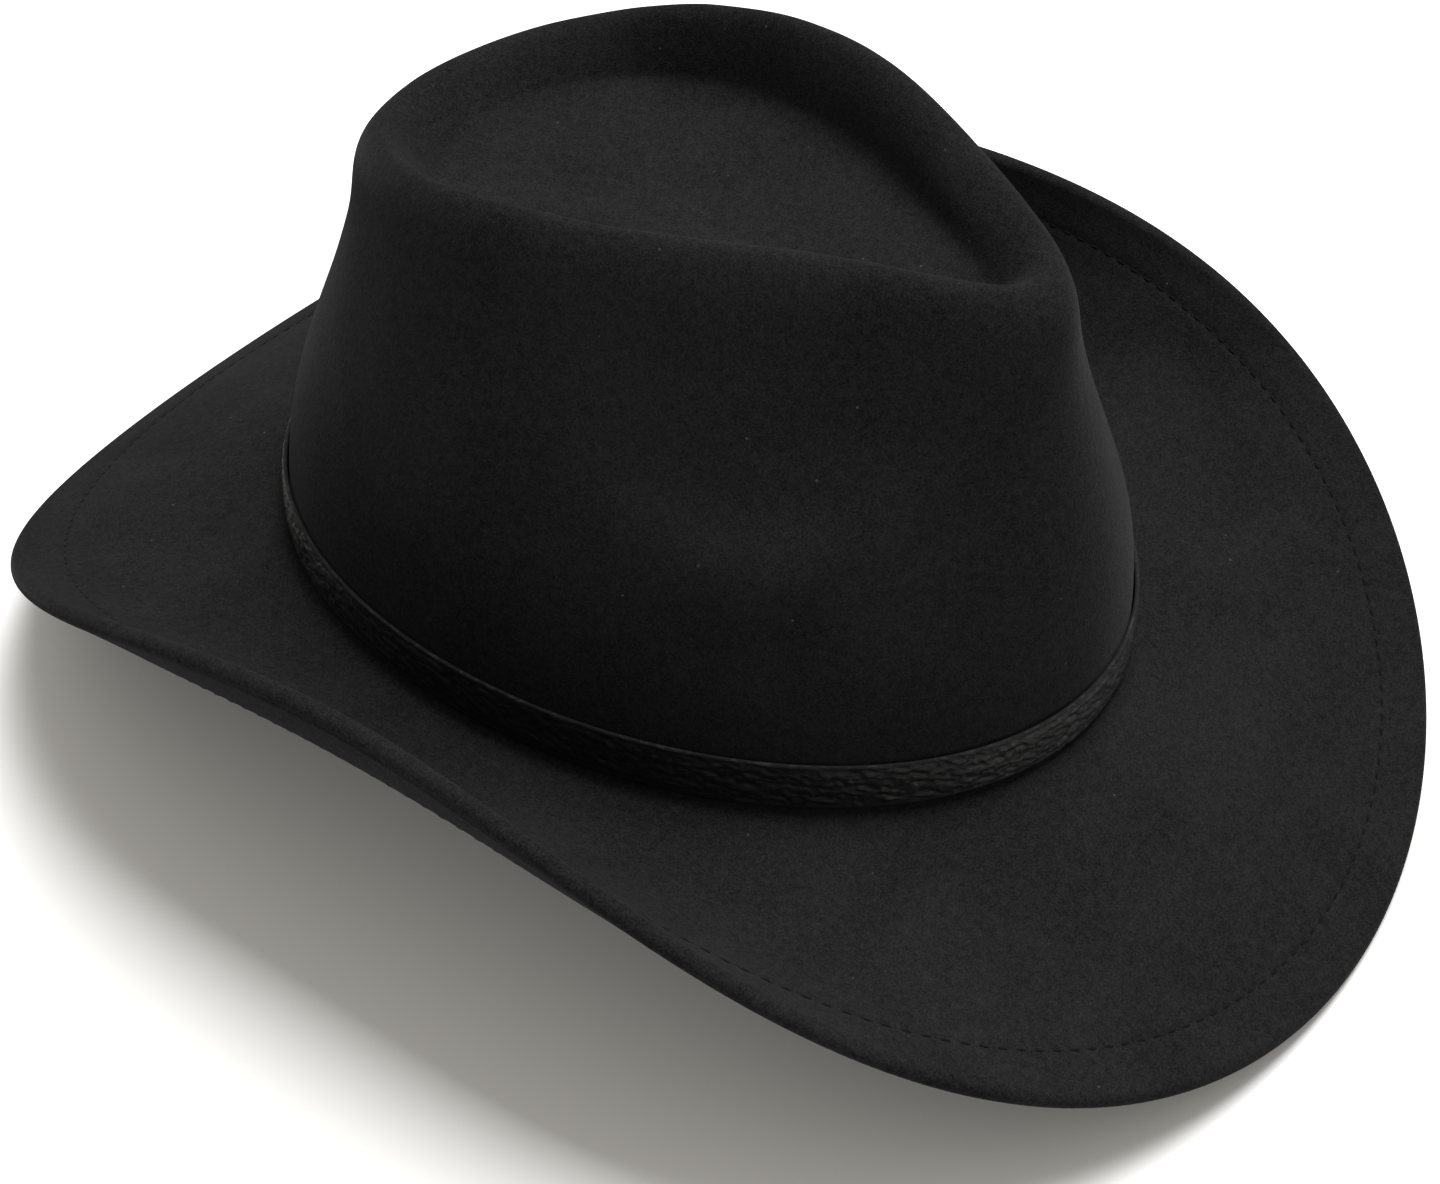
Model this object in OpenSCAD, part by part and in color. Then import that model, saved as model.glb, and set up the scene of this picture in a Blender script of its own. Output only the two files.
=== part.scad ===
// Western hat with a pinched teardrop crown, a rolled brim with a turned-under
// hem, a sweatband and a buckled leather band. Millimetres, +Z up.
// The front of the hat faces -Y and the wearer's left is +X.
// Angle t runs round the hat: 0 front, 90 wearer's left, 180 back, 270 right.

/* [Crown base] */
// Half of the base oval's length, front to back
base_half_length = 102.5; // [98:0.5:108]
// Half of the base oval's width, side to side
base_half_width = 82; // [78:0.5:87]
// How much higher the base sits at the sides than at the front and back
side_rise = 4.5; // [0:0.5:8]
// Thickness of the felt
felt_thick = 2.2; // [1.8:0.1:2.6]

/* [Crown] */
// Height of the rim over the base at the front
rim_front = 100.5; // [94:0.5:106]
// Height of the rim over the base at the sides
rim_side = 109.5; // [103:0.5:115]
// Height of the rim over the base at the back
rim_back = 94; // [88:1:100]
// Half of the rim's width before the front is pinched
rim_half_width = 52.6; // [50:0.2:56]
// Half of the rim's length
rim_half_length = 75.5; // [72:0.5:79]
// How far the front of the rim is pinched, as a share of its width
pinch = 0.36; // [0.2:0.02:0.42]
// How quickly the pinch fades towards the back
pinch_fade = 1.9; // [1.5:0.05:2.3]
// Depth of the side dents
dent_depth = 7.8; // [3:0.1:8.6]
// Angle of the side dents from the front
dent_angle = 49; // [42:1:56]
// Spread of the side dents round the crown, in degrees
dent_spread = 37; // [28:1:39]

/* [Bowl in the top] */
// Half of the bowl floor's width before the front is pinched
bowl_half_width = 47.5; // [44:0.5:52]
// Half of the bowl floor's length
bowl_half_length = 62.5; // [60:0.5:66]
// How much narrower the front of the bowl floor is, as a share of its width
bowl_pinch = 0.84; // [0.78:0.01:0.9]
// How far the bowl sits towards the back
bowl_shift = -2; // [-4:0.5:1]
// Height of the floor's edge at the front
floor_front = 90.5; // [86:0.5:93]
// Height of the floor's edge at the sides
floor_side = 89; // [86:0.5:92]
// Height of the floor's edge at the back
floor_back = 85.5; // [82:0.5:88]
// Height of the middle of the floor
floor_middle = 82; // [79:1:85]

/* [Brim] */
// Width of the brim at the front, measured along the felt
brim_front = 73; // [68:1:80]
// Width of the brim at the sides
brim_side = 61; // [57:1:68]
// Width of the brim at the back
brim_back = 63.5; // [58:0.5:70]
// Slope where the brim leaves the crown, at the front
slope_front = -17; // [-20:1:-10]
// Slope where the brim leaves the crown, at the sides
slope_side = -12; // [-15:1:0]
// Slope where the brim leaves the crown, at the back
slope_back = -10.5; // [-14:0.5:-6]
// Slope of the brim's edge at the front
edge_front = -22.5; // [-28:0.5:-16]
// Slope of the rolled brim's edge at the sides
edge_side = 84; // [70:1:90]
// Slope of the brim's edge at the back
edge_back = -32; // [-36:1:-24]
// How much further the side roll reaches towards the front and back
roll_reach = 3.3; // [0:0.1:5]
// How early across the brim the roll begins, smaller is earlier
roll_start = 0.7; // [0.6:0.05:1.2]

/* [Hem] */
// Depth of the turned-under hem
hem_depth = 12.5; // [10:0.5:15]
// Thickness of the folded hem
hem_thick = 4.2; // [3.8:0.1:4.8]
// Diameter of the shaping wire in the hem
wire_d = 2; // [1.6:0.1:2.2]

/* [Sweatband] */
// Height of the sweatband
sweatband_height = 36; // [30:1:38]
// Thickness of the sweatband
sweatband_thick = 1.2; // [0.9:0.1:1.5]
// Diameter of the reed along the sweatband's lower edge
reed_d = 2.2; // [1.8:0.1:2.4]

/* [Hat band] */
// Width of the leather strap
strap_width = 10.8; // [10:0.2:11]
// Thickness of the leather strap
strap_thick = 0.95; // [0.85:0.05:1]
// How far the loose tip runs past the buckle
tip_length = 36; // [32:1:42]
// Radius of the buckle's pivot bar
bar_r = 0.95; // [0.91:0.01:0.96]

/* [Hidden] */

stations = 60;
turn = 360 / stations;
round_hat = [for (i = [0:stations - 1]) i * turn];
fillet = 1.3;
rim_shift = -0.8;
brim_steps = 9;
hem_steps = 3;
felt_gap = 0.3;
band_gap = 0.4;
band_low = 1.8;
band_z = side_rise + band_low + strap_width / 2;

// ---- Smooth shapes round the hat ----

// Value that changes smoothly from the front to the sides to the back
function blend3(front, side, back, t) =
    (front + back) / 4 + side / 2 + (front - back) / 2 * cos(t)
    + ((front + back) / 4 - side / 2) * cos(2 * t);

// Base oval, its outward direction and its height
function oval(t) = [base_half_width * sin(t), -base_half_length * cos(t)];
function outward(t) =
    let (n = [sin(t) / base_half_width, -cos(t) / base_half_length]) n / norm(n);
function base_z(t) = side_rise * (1 - cos(2 * t)) / 2;

// How strongly the two side dents act at angle t, and the pinch at the front
function turn_from(a, b) = (a - b + 900) % 360 - 180;
function dent(t) =
    exp(-pow(turn_from(t, dent_angle) / dent_spread, 2))
    + exp(-pow(turn_from(t, -dent_angle) / dent_spread, 2));
function pinched(t, share) = 1 - share * pow((1 + cos(t)) / 2, pinch_fade);

// ---- Crown: steering points from the base over the rim into the bowl ----

function wall_point(t, part, rise, rim, push) =
    let (p = (1 - part) * oval(t) + part * rim + push * [-sin(t), cos(t) / 2])
    [p[0], p[1], base_z(t) + rise];

function crown_points(t) =
    let (g = pinched(t, pinch), round = [g * sin(t), -cos(t)],
         rim = [rim_half_width * round[0], rim_shift + rim_half_length * round[1]],
         rim_top = blend3(rim_front, rim_side, rim_back, t),
         rim_z = rim_top - base_z(t),
         push = dent(t) * dent_depth,
         narrow = pow(dent(t), 1.6) * dent_depth,
         inward = push * [-sin(t), cos(t) / 2],
         edge = [bowl_half_width * pinched(t, bowl_pinch) * sin(t),
                 bowl_shift - bowl_half_length * cos(t)],
         edge_z = blend3(floor_front, floor_side, floor_back, t),
         middle = [0, bowl_shift],
         near_middle = middle + 0.55 * (edge - middle),
         near = rim + 0.55 * (edge - rim) + 0.8 * inward,
         low = rim + 0.86 * (edge - rim))
    [wall_point(t, 0, 0, rim, 0),
     wall_point(t, 0, 8, rim, 0),
     wall_point(t, 0.10, rim_z * 0.30, rim, narrow * 0.10),
     wall_point(t, 0.41, rim_z * 0.55, rim, narrow * 0.80),
     wall_point(t, 0.74, rim_z * 0.80, rim, narrow * 0.95),
     wall_point(t, 1, rim_z - 7.5, rim + 7.4 * round, push),
     wall_point(t, 1, rim_z + 1, rim, push),
     [near[0], near[1], rim_top + 0.44 * (edge_z - rim_top)],
     [low[0], low[1], rim_top + 0.84 * (edge_z - rim_top)],
     [edge[0], edge[1], edge_z],
     [near_middle[0], near_middle[1], 0.65 * floor_middle + 0.35 * edge_z],
     [0, bowl_shift, floor_middle]];

// Smooth cubic curve steered by a list of points
function curve_point(p, u) =
    let (e = [p[0], p[0], each p, p[len(p) - 1], p[len(p) - 1]],
         i = min(floor(u), len(e) - 4), f = u - i)
    (pow(1 - f, 3) * e[i] + (3 * pow(f, 3) - 6 * f * f + 4) * e[i + 1]
     + (-3 * pow(f, 3) + 3 * f * f + 3 * f + 1) * e[i + 2] + pow(f, 3) * e[i + 3]) / 6;

// Rows of the crown's outside at angle t, from beside the bowl's middle down
// to the base
crown_rows = [12, for (u = [11:-0.5:2.5]) u, 2, 1, 0];
function crown_profile(t) =
    let (p = crown_points(t)) [for (u = crown_rows) curve_point(p, u)];

// Point of the crown's outside wall at angle t and height z, pushed out by n
function wall_rows(t) = let (p = crown_points(t)) [for (u = [0, 1, for (k = [2:0.5:6]) k])
    curve_point(p, u)];
function wall_at(t, z, n) =
    let (rows = wall_rows(t), o = outward(t))
    [lookup(z, [for (r = rows) [r[2], r[0]]]) + n * o[0],
     lookup(z, [for (r = rows) [r[2], r[1]]]) + n * o[1],
     z];

// ---- Brim: rows across the felt, as [distance out, height, slope] ----

function brim_width(t) = blend3(brim_front, brim_side, brim_back, t);
function slope_at(t, s) =
    let (start = blend3(slope_front, slope_side, slope_back, t),
         end = blend3(edge_front, edge_side, edge_back, t) + roll_reach * (cos(4 * t) - 1))
    start + (end - start) * pow(s / brim_width(t), roll_start);
function brim_places(t) =
    let (w = brim_width(t), hem = w - hem_depth, fold = w - hem_thick / 2)
    [for (k = [0:brim_steps]) hem * k / brim_steps,
     for (k = [1:hem_steps]) hem + (fold - hem) * k / hem_steps];
function brim_profile(t) =
    let (s = brim_places(t))
    [for (k = 0, r = fillet, z = base_z(t);
          k < len(s);
          ds = k < len(s) - 1 ? s[k + 1] - s[k] : 0,
          a = slope_at(t, s[k] + ds / 2),
          r = r + ds * cos(a),
          z = z + ds * sin(a),
          k = k + 1)
        [r, z, slope_at(t, s[k])]];

// Point at a distance below (or above) a brim row, along the felt's own normal
function below(row, depth) = [row[0] + depth * sin(row[2]), row[1] - depth * cos(row[2])];
function out_at(t, rz) = let (b = oval(t), o = outward(t)) [b[0] + rz[0] * o[0], b[1] + rz[0] * o[1], rz[1]];

// Centre of the rolled fold, where the wire lies
function fold_centre(t) = let (p = brim_profile(t)) below(p[len(p) - 1], hem_thick / 2);
function fold_slope(t) = slope_at(t, brim_width(t) - hem_thick / 2);
function fold_point(t, r, a) =
    out_at(t, fold_centre(t) + r * [cos(a + fold_slope(t)), sin(a + fold_slope(t))]);

// The hat is placed so that its brim rests on z = 0 and its length is centred
front_end = min([for (a = [45:-45:-45]) fold_point(0, hem_thick / 2, a)[1]]);
back_end = max([for (a = [45:-45:-45]) fold_point(180, hem_thick / 2, a)[1]]);
lowest = min([for (t = round_hat, a = [0:-45:-90]) fold_point(t, hem_thick / 2, a)[2]]);
place = [0, -(front_end + back_end) / 2, -lowest];

// ---- Mesh helpers ----

// Closed body from rings with a single point at each end
module rings_with_poles(first, rings, last) {
    n = len(rings[0]);
    m = len(rings);
    points = [first, for (r = rings) each r, last];
    polyhedron(points, [
        for (j = [0:n - 1]) [0, 1 + (j + 1) % n, 1 + j],
        for (i = [0:m - 2], j = [0:n - 1], half = [0, 1])
            let (a = 1 + i * n + j, b = 1 + i * n + (j + 1) % n)
            half == 0 ? [a, b, a + n] : [b, b + n, a + n],
        for (j = [0:n - 1]) let (k = 1 + (m - 1) * n) [k + j, k + (j + 1) % n, m * n + 1]]);
}

// Body swept through cross-sections: closed like a ring, or with flat ends
module swept(sections, closed = true) {
    n = len(sections[0]);
    m = len(sections);
    points = [for (s = sections) each s];
    sides = [for (i = [0:m - (closed ? 1 : 2)], j = [0:n - 1], half = [0, 1])
        let (a = i * n + j, b = i * n + (j + 1) % n, c = ((i + 1) % m) * n)
        half == 0 ? [b, a, c + j] : [b, c + j, c + (j + 1) % n]];
    ends = closed ? [] : [
        [for (j = [n - 1:-1:0]) (m - 1) * n + j],
        [for (j = [0:n - 1]) j]];
    polyhedron(points, concat(sides, ends));
}

// ---- Felt ----

function surface_normal(grid, i, k) =
    let (n = len(grid), m = len(grid[0]),
         along = grid[i][min(k + 1, m - 1)] - grid[i][max(k - 1, 0)],
         round = grid[(i + 1) % n][k] - grid[(i + n - 1) % n][k],
         v = cross(along, round))
    v / norm(v);

module felt_body() {
    crown = [for (t = round_hat) crown_profile(t)];
    brim = [for (t = round_hat) brim_profile(t)];
    rows = len(crown[0]);
    last = len(brim[0]) - 1;
    middle = [0, bowl_shift, floor_middle];
    outside = [for (k = [0:rows - 1]) [for (i = [0:stations - 1]) crown[i][k]]];
    inside = [for (k = [rows - 1:-1:0]) [for (i = [0:stations - 1])
        crown[i][k] - felt_thick * surface_normal(crown, i, k)]];
    brim_top = [for (k = [0:last]) [for (i = [0:stations - 1]) out_at(round_hat[i], brim[i][k])]];
    fold = [for (a = [45:-45:-45]) [for (t = round_hat) fold_point(t, hem_thick / 2, a)]];
    hem_under = [for (k = [last:-1:brim_steps]) [for (i = [0:stations - 1])
        out_at(round_hat[i], below(brim[i][k], hem_thick))]];
    brim_under = [for (k = [brim_steps:-1:0]) [for (i = [0:stations - 1])
        out_at(round_hat[i], below(brim[i][k], felt_thick) - (k == brim_steps ? [0.3, 0] : [0, 0]))]];
    color([0.16, 0.16, 0.17])
        translate(place)
            rings_with_poles(middle,
                concat(outside, brim_top, fold, hem_under, brim_under, inside),
                middle - [0, 0, felt_thick]);
}

// ---- Brim wire and stitching ----

function fold_ring(t, r, sides) = [for (a = [0:-360 / sides:-359]) fold_point(t, r, a)];

module brim_wire() {
    color([0.55, 0.56, 0.58])
        translate(place)
            swept([for (t = round_hat) fold_ring(t, wire_d / 2, 8)]);
}

module wire_sleeve() {
    ends = [180 - turn, 180, 180 + turn];
    color([0.72, 0.70, 0.62])
        translate(place)
            swept([for (a = [0:30:330]) [
                for (t = ends) fold_point(t, wire_d / 2 + 0.5, a),
                for (i = [2:-1:0]) fold_point(ends[i], wire_d / 2 + 0.05, a)]]);
}

module hem_stitching() {
    color([0.10, 0.10, 0.11])
        translate(place)
            swept([for (t = round_hat)
                let (row = brim_profile(t)[brim_steps], out = [cos(row[2]), sin(row[2])])
                [for (c = [[1.3, 0.4], [0.7, 0.4], [0.7, -0.2], [1.3, -0.2]])
                    out_at(t, below(row, c[1]) + c[0] * out)]]);
}

// ---- Sweatband ----

sweat_out = -felt_thick - felt_gap;
sweat_in = sweat_out - sweatband_thick;

module sweatband() {
    color([0.12, 0.11, 0.11])
        translate(place)
            swept([for (t = round_hat) [
                for (k = [0:3]) wall_at(t, base_z(t) + 1 + sweatband_height * k / 3, sweat_in),
                for (k = [3:-1:0]) wall_at(t, base_z(t) + 1 + sweatband_height * k / 3, sweat_out)]]);
}

module sweatband_reed() {
    color([0.09, 0.09, 0.09])
        translate(place)
            swept([for (t = round_hat) [for (a = [0:-45:-315])
                wall_at(t, base_z(t), sweat_in + 0.4 + reed_d / 2 * cos(a))
                + [0, 0, -reed_d / 2 + 0.7 + reed_d / 2 * sin(a)]]]);
}

module sweatband_stitching() {
    color([0.20, 0.20, 0.21])
        translate(place)
            swept([for (t = round_hat) [
                for (c = [[-0.1, 3.2], [-0.1, 2.7], [-1.3, 2.7], [-1.3, 3.2]])
                    wall_at(t, base_z(t) + c[1], sweat_out + 0.35 + c[0] * 1.5)]]);
}

module back_bow() {
    half = [[0, -2.2], [1.6, -2.2], [2.2, -1.2], [8.4, -4], [9, 0], [8.4, 4], [2.2, 1.2], [1.6, 2.2], [0, 2.2]];
    color([0.08, 0.08, 0.09])
        translate(place + wall_at(180, 14, sweat_in - 1.8))
            rotate([90, 0, 0])
                linear_extrude(0.8, center = true)
                    polygon(concat(half, [for (i = [7:-1:1]) [-half[i][0], half[i][1]]]));
}

module size_label() {
    color([0.86, 0.85, 0.82])
        translate(place)
            swept([for (t = [198:turn:216]) [
                for (c = [[-0.3, 12], [-0.6, 12], [-0.6, 28], [-0.3, 28]])
                    wall_at(t, base_z(t) + c[1], sweat_in + c[0])]], false);
}

// ---- Leather band: u runs along the strap from the buckle towards the back ----

bar_u = 4;
frame_n = 2.5;
frame_thick = 1.7;
frame_start = -12.5;
frame_end = bar_u + 1.6;
rail_in = 5.8;
rail_out = 6.95;
running_gap = 0.05;
fold_in = frame_n - bar_r - running_gap - strap_thick;
fold_out = frame_n + bar_r + running_gap;
tip_up = fold_out + strap_thick + 0.15;
lap_end = 44;
keeper_u = 19;
keeper_width = 6;
side_x = wall_at(90, band_z, 0)[0];

function u_to_t(u) = 90 + asin(u / base_half_length);

// Distance from the crown of the strap's inner face: of the loose tip, and of
// the end that folds round the buckle's bar
function tip_n(u) = lookup(u, [[-8.5, band_gap], [3, tip_up], [bar_u + 2, tip_up],
                               [bar_u + 9, 2.6], [26, 2.6], [31, 2.25], [44, 1.6]]);
function lap_n(u) = lookup(u, [[bar_u, fold_out], [bar_u + 1.5, fold_out - 0.2], [bar_u + 7.5, 1.5],
                               [26, 1.5], [lap_end, band_gap]]);
function turn_back_n(u) = lookup(u, [[bar_u, fold_in], [bar_u + 9, 0.45]]);

// The strap leans with the crown's wall, but stands upright beside the buckle
function upright(u) = lookup(u, [[-12, 0], [-7, 1], [8, 1], [13, 0]]);

// Cross-section across the strap at angle t, its inner face n from the crown
function strap_section(t, n, half = strap_width / 2, thick = strap_thick, share = 0) =
    let (z = base_z(t) + band_low + strap_width / 2)
    [for (c = [[-half, n], [-half, n + thick], [half, n + thick], [half, n]])
        let (level = wall_at(t, z, c[1]))
        (1 - share) * wall_at(t, z + c[0], c[1]) + share * [level[0], level[1], z + c[0]]];
function strap_at(u, n, half = strap_width / 2) = strap_section(u_to_t(u), n, half, strap_thick, upright(u));

// The tip ends in a half round
function tip_half(u) =
    let (in_round = max(0, (u - tip_length) / (strap_width / 2) + 1))
    strap_width / 2 * sqrt(max(0.02, 1 - in_round * in_round));

// Point beside the buckle: u along the strap, n out from the crown, z up
function beside(u, n, z) = [side_x + n, u, band_z + z];

module strap_run() {
    tip = [for (k = [0, 1, 2.5, 5.5]) tip_length - k, 26, 20, for (u = [13, 9.5, 6, 3, -2, -5, -8.5, -12]) u];
    lap = [lap_end, 35, 26, 20, 13, bar_u + 7.5, bar_u + 4, bar_u + 1.5, bar_u];
    swept(concat(
        [for (u = tip) strap_at(u, tip_n(u), tip_half(u))],
        [for (t = [78:-turn:-240]) strap_section(t, band_gap)],
        [for (u = lap) strap_at(u, lap_n(u))]), false);
}

module strap_turn_back() {
    translate(beside(bar_u, frame_n, 0))
        difference() {
            cylinder(h = strap_width, r = bar_r + running_gap + strap_thick, center = true, $fn = 48);
            cylinder(h = strap_width + 1, r = bar_r + running_gap, center = true, $fn = 48);
            translate([-5, 0, -10])
                cube([10, 5, 20]);
        }
    swept([for (u = [bar_u + 9, bar_u + 6.5, bar_u + 4, bar_u]) strap_at(u, turn_back_n(u))], false);
}

// Hole punched through the loose tip only
module tip_hole(u) {
    t = u_to_t(u);
    o = outward(t);
    translate(wall_at(t, base_z(t) + band_low + strap_width / 2, tip_n(u) - 0.08))
        rotate([0, 90, atan2(o[1], o[0])])
            cylinder(h = 3, r = 1, $fn = 24);
}

module band_strap() {
    color([0.10, 0.10, 0.11])
        translate(place)
            difference() {
                union() {
                    strap_run();
                    strap_turn_back();
                }
                // Slot that the prong comes up through
                translate(beside(-0.55, 3.75, 0))
                    cube([5.5, 7.5, 2.1], center = true);
                // Opening in the fold for the prong's loop
                translate(beside(bar_u, 2.41, 0))
                    cube([4.22, 5.2, 2.8], center = true);
                for (u = [13.5:7:27.5])
                    tip_hole(u);
            }
}

module strap_stitching() {
    color([0.22, 0.22, 0.23])
        translate(place)
            for (u = [10, 12], z = [-3.6:2.4:3.6]) {
                t = u_to_t(u);
                o = outward(t);
                translate(wall_at(t, band_z + z, 0.42))
                    rotate([0, 90, atan2(o[1], o[0])])
                        cylinder(h = lap_n(u) + strap_thick - 0.32, r = 0.35, $fn = 16);
            }
}

module rounded_rect(x0, x1, half, r) {
    translate([x0, -half + r])
        square([x1 - x0, 2 * (half - r)]);
    translate([x0 + r, -half])
        square([x1 - x0 - 2 * r, 2 * half]);
    for (x = [x0 + r, x1 - r], y = [r - half, half - r])
        translate([x, y])
            circle(r = r, $fn = 32);
}

module buckle_frame() {
    color([0.62, 0.61, 0.58])
        translate(place) {
            translate(beside(0, frame_n - frame_thick / 2, 0))
                rotate([90, 0, 90])
                    linear_extrude(frame_thick)
                        difference() {
                            rounded_rect(frame_start, frame_end, rail_out, 2);
                            rounded_rect(frame_start + 2, frame_end + 10, rail_in, 0.8);
                        }
            translate(beside(bar_u, frame_n, 0))
                cylinder(h = 2 * rail_in + 1, r = bar_r, center = true, $fn = 48);
        }
}

module buckle_prong() {
    root_u = bar_u - 1.5;
    root_n = frame_n + 1;
    tip_u = frame_start + 0.4;
    tip_out = frame_n + frame_thick / 2 + 0.8;
    reach = norm([root_u - tip_u, tip_out - root_n]);
    color([0.66, 0.65, 0.61])
        translate(place)
            difference() {
                union() {
                    translate(beside(bar_u, frame_n, 0))
                        cylinder(h = 2, r = 1.75, center = true, $fn = 48);
                    translate(beside(root_u, root_n, 0)) {
                        sphere(r = 0.9, $fn = 48);
                        rotate([90, 0, atan2(tip_out - root_n, root_u - tip_u)])
                            cylinder(h = reach, r = 0.7, $fn = 48);
                    }
                    translate(beside(tip_u, tip_out, 0))
                        sphere(r = 0.78, $fn = 48);
                }
                translate(beside(bar_u, frame_n, 0))
                    cylinder(h = 4, r = bar_r + running_gap, center = true, $fn = 48);
            }
}

module keeper_block(n0, n1, half, overrun) {
    u0 = keeper_u - keeper_width / 2 - overrun;
    u1 = keeper_u + keeper_width / 2 + overrun;
    swept([for (u = [u1, keeper_u, u0]) strap_section(u_to_t(u), n0, half, n1 - n0)], false);
}

module band_keeper() {
    color([0.11, 0.11, 0.12])
        translate(place)
            difference() {
                keeper_block(0.45, 4.65, 6.7, 0);
                keeper_block(1.2, 3.85, 5.75, 1);
            }
}

felt_body();
brim_wire();
wire_sleeve();
hem_stitching();
sweatband();
sweatband_reed();
sweatband_stitching();
back_bow();
size_label();
band_strap();
strap_stitching();
buckle_frame();
buckle_prong();
band_keeper();
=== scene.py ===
"""A black felt western hat with a buckled leather band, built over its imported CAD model."""

import math

import bmesh
import bpy
import numpy as np
from mathutils import Matrix, Vector


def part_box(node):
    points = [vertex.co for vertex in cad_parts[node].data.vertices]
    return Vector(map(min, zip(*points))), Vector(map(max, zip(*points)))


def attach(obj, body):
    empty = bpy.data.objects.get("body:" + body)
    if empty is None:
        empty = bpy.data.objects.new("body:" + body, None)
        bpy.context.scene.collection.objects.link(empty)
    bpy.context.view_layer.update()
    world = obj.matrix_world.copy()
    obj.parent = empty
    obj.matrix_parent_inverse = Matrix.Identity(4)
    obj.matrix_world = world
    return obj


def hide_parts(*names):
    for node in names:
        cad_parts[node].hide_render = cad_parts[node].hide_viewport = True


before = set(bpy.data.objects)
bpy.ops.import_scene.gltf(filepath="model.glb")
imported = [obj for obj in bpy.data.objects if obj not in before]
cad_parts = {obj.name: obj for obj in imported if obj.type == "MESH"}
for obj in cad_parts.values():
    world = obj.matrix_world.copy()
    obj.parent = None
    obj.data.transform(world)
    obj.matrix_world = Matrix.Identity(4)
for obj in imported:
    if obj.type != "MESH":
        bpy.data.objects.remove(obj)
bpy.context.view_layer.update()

# ---- sizes in millimetres: the CAD model's own, before it is placed

BASE = (82.0, 102.5)
SIDE_RISE = 4.5
FELT = 2.2
RIM_HEIGHT = (100.5, 109.5, 94.0)
RIM_HALF = (52.6, 75.5)
RIM_SHIFT = -0.8
PINCH, BOWL_PINCH = 0.36, 0.84
PINCH_FADE = 1.9
SHOULDER = (7.4, 7.5, 1.0)
DENT_DEPTH, DENT_ANGLE, DENT_SPREAD = 7.8, 49.0, 37.0
DENT_AT = (0.1, 0.8, 0.95)
# the ledge of felt under each side dent, and its fade above and below its crest
LIP_ANGLE, LIP_HEIGHT, LIP_OUT, LIP_SPREAD = 60.0, 51.0, 3.1, 18.0
LIP_ABOVE, LIP_BELOW, LIP_ARCH = 5.2, 12.0, 7.0
BOWL_HALF = (47.5, 62.5)
BOWL_SHIFT = -2.0
FLOOR_EDGE = (90.5, 89.0, 85.5)
FLOOR_MIDDLE = 82.0
BRIM_WIDTH = (73.0, 61.0, 63.5)
BRIM_START = (-17.0, -12.0, -10.5)
BRIM_EDGE = (-22.5, 84.0, -32.0)
ROLL_REACH, ROLL_START = 3.3, 0.7
FILLET = 1.3
HEM_DEPTH, HEM_THICK = 12.5, 4.2
HEM_PITCH = 4.0
STITCH_IN = HEM_DEPTH - 1.0
STITCH_RADIUS = 148.0
SWEATBAND = (36.0, 1.2)
REED_D, REED_RISE = 2.2, 0.7
SWEAT_GAP = 0.3
BACK_RADIUS, LABEL_RADIUS = 79.0, 86.0
STRAP_WIDTH, STRAP_THICK = 10.8, 0.95
BAND_LOW, BAND_GAP = 1.8, 0.4
TIP_LENGTH, LAP_END = 36.0, 44.0
BAR_U, BAR_R, FRAME_N, FRAME_THICK = 4.0, 0.95, 2.5, 1.7
RAIL_IN, RAIL_OUT, FRAME_START, FRAME_END = 5.8, 6.95, -12.5, 5.6
KEEPER_U = 19.0
HOLES = (13.5, 20.5, 27.5)
FLOOR_HALF, FLOOR_THICK = 4000.0, 6.0

METRE = 0.001
# The reed follows the base oval, so its box tells where the hat is placed.
reed_low, reed_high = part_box("sweatband_reed")
PLACE = np.array([0, (reed_low.y + reed_high.y) / 2, reed_low.z]) / METRE + (0, 0, REED_D - REED_RISE)
WALL_PLACES = np.arange(0, 6.01, 0.25)


# ---- the hat's shape
# t is the angle round the hat: 0 at the front, 90 degrees at the wearer's left, 180 at the back.
def circle(count):
    """Evenly spaced angles round a full turn."""
    return np.arange(count) / count * 2 * np.pi


def degrees_from(t, centre):
    return np.degrees(np.angle(np.exp(1j * (t - math.radians(centre)))))


def superellipse(angles, power):
    """Points of a unit circle that is squared off by the power."""
    c, s = np.cos(angles), np.sin(angles)
    size = (np.abs(c) ** power + np.abs(s) ** power) ** (1 / power)
    return c / size, s / size


def blend3(values, t):
    """A value that changes smoothly from the front to the sides to the back."""
    front, side, back = values
    return ((front + back) / 4 + side / 2 + (front - back) / 2 * np.cos(t)
            + ((front + back) / 4 - side / 2) * np.cos(2 * t))


def outward(t):
    """Direction straight out from the base oval at angle t."""
    x, y = np.sin(t) / BASE[0], -np.cos(t) / BASE[1]
    size = np.hypot(x, y)
    return x / size, y / size


def base_z(t):
    return SIDE_RISE * (1 - np.cos(2 * t)) / 2


def dent(t):
    """How strongly the two side dents act at angle t."""
    total = 0
    for centre in (DENT_ANGLE, -DENT_ANGLE):
        total = total + np.exp(-(degrees_from(t, centre) / DENT_SPREAD) ** 2)
    return total


def pinched(t, share):
    return 1 - share * np.clip((1 + np.cos(t)) / 2, 0, 1) ** PINCH_FADE


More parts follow.
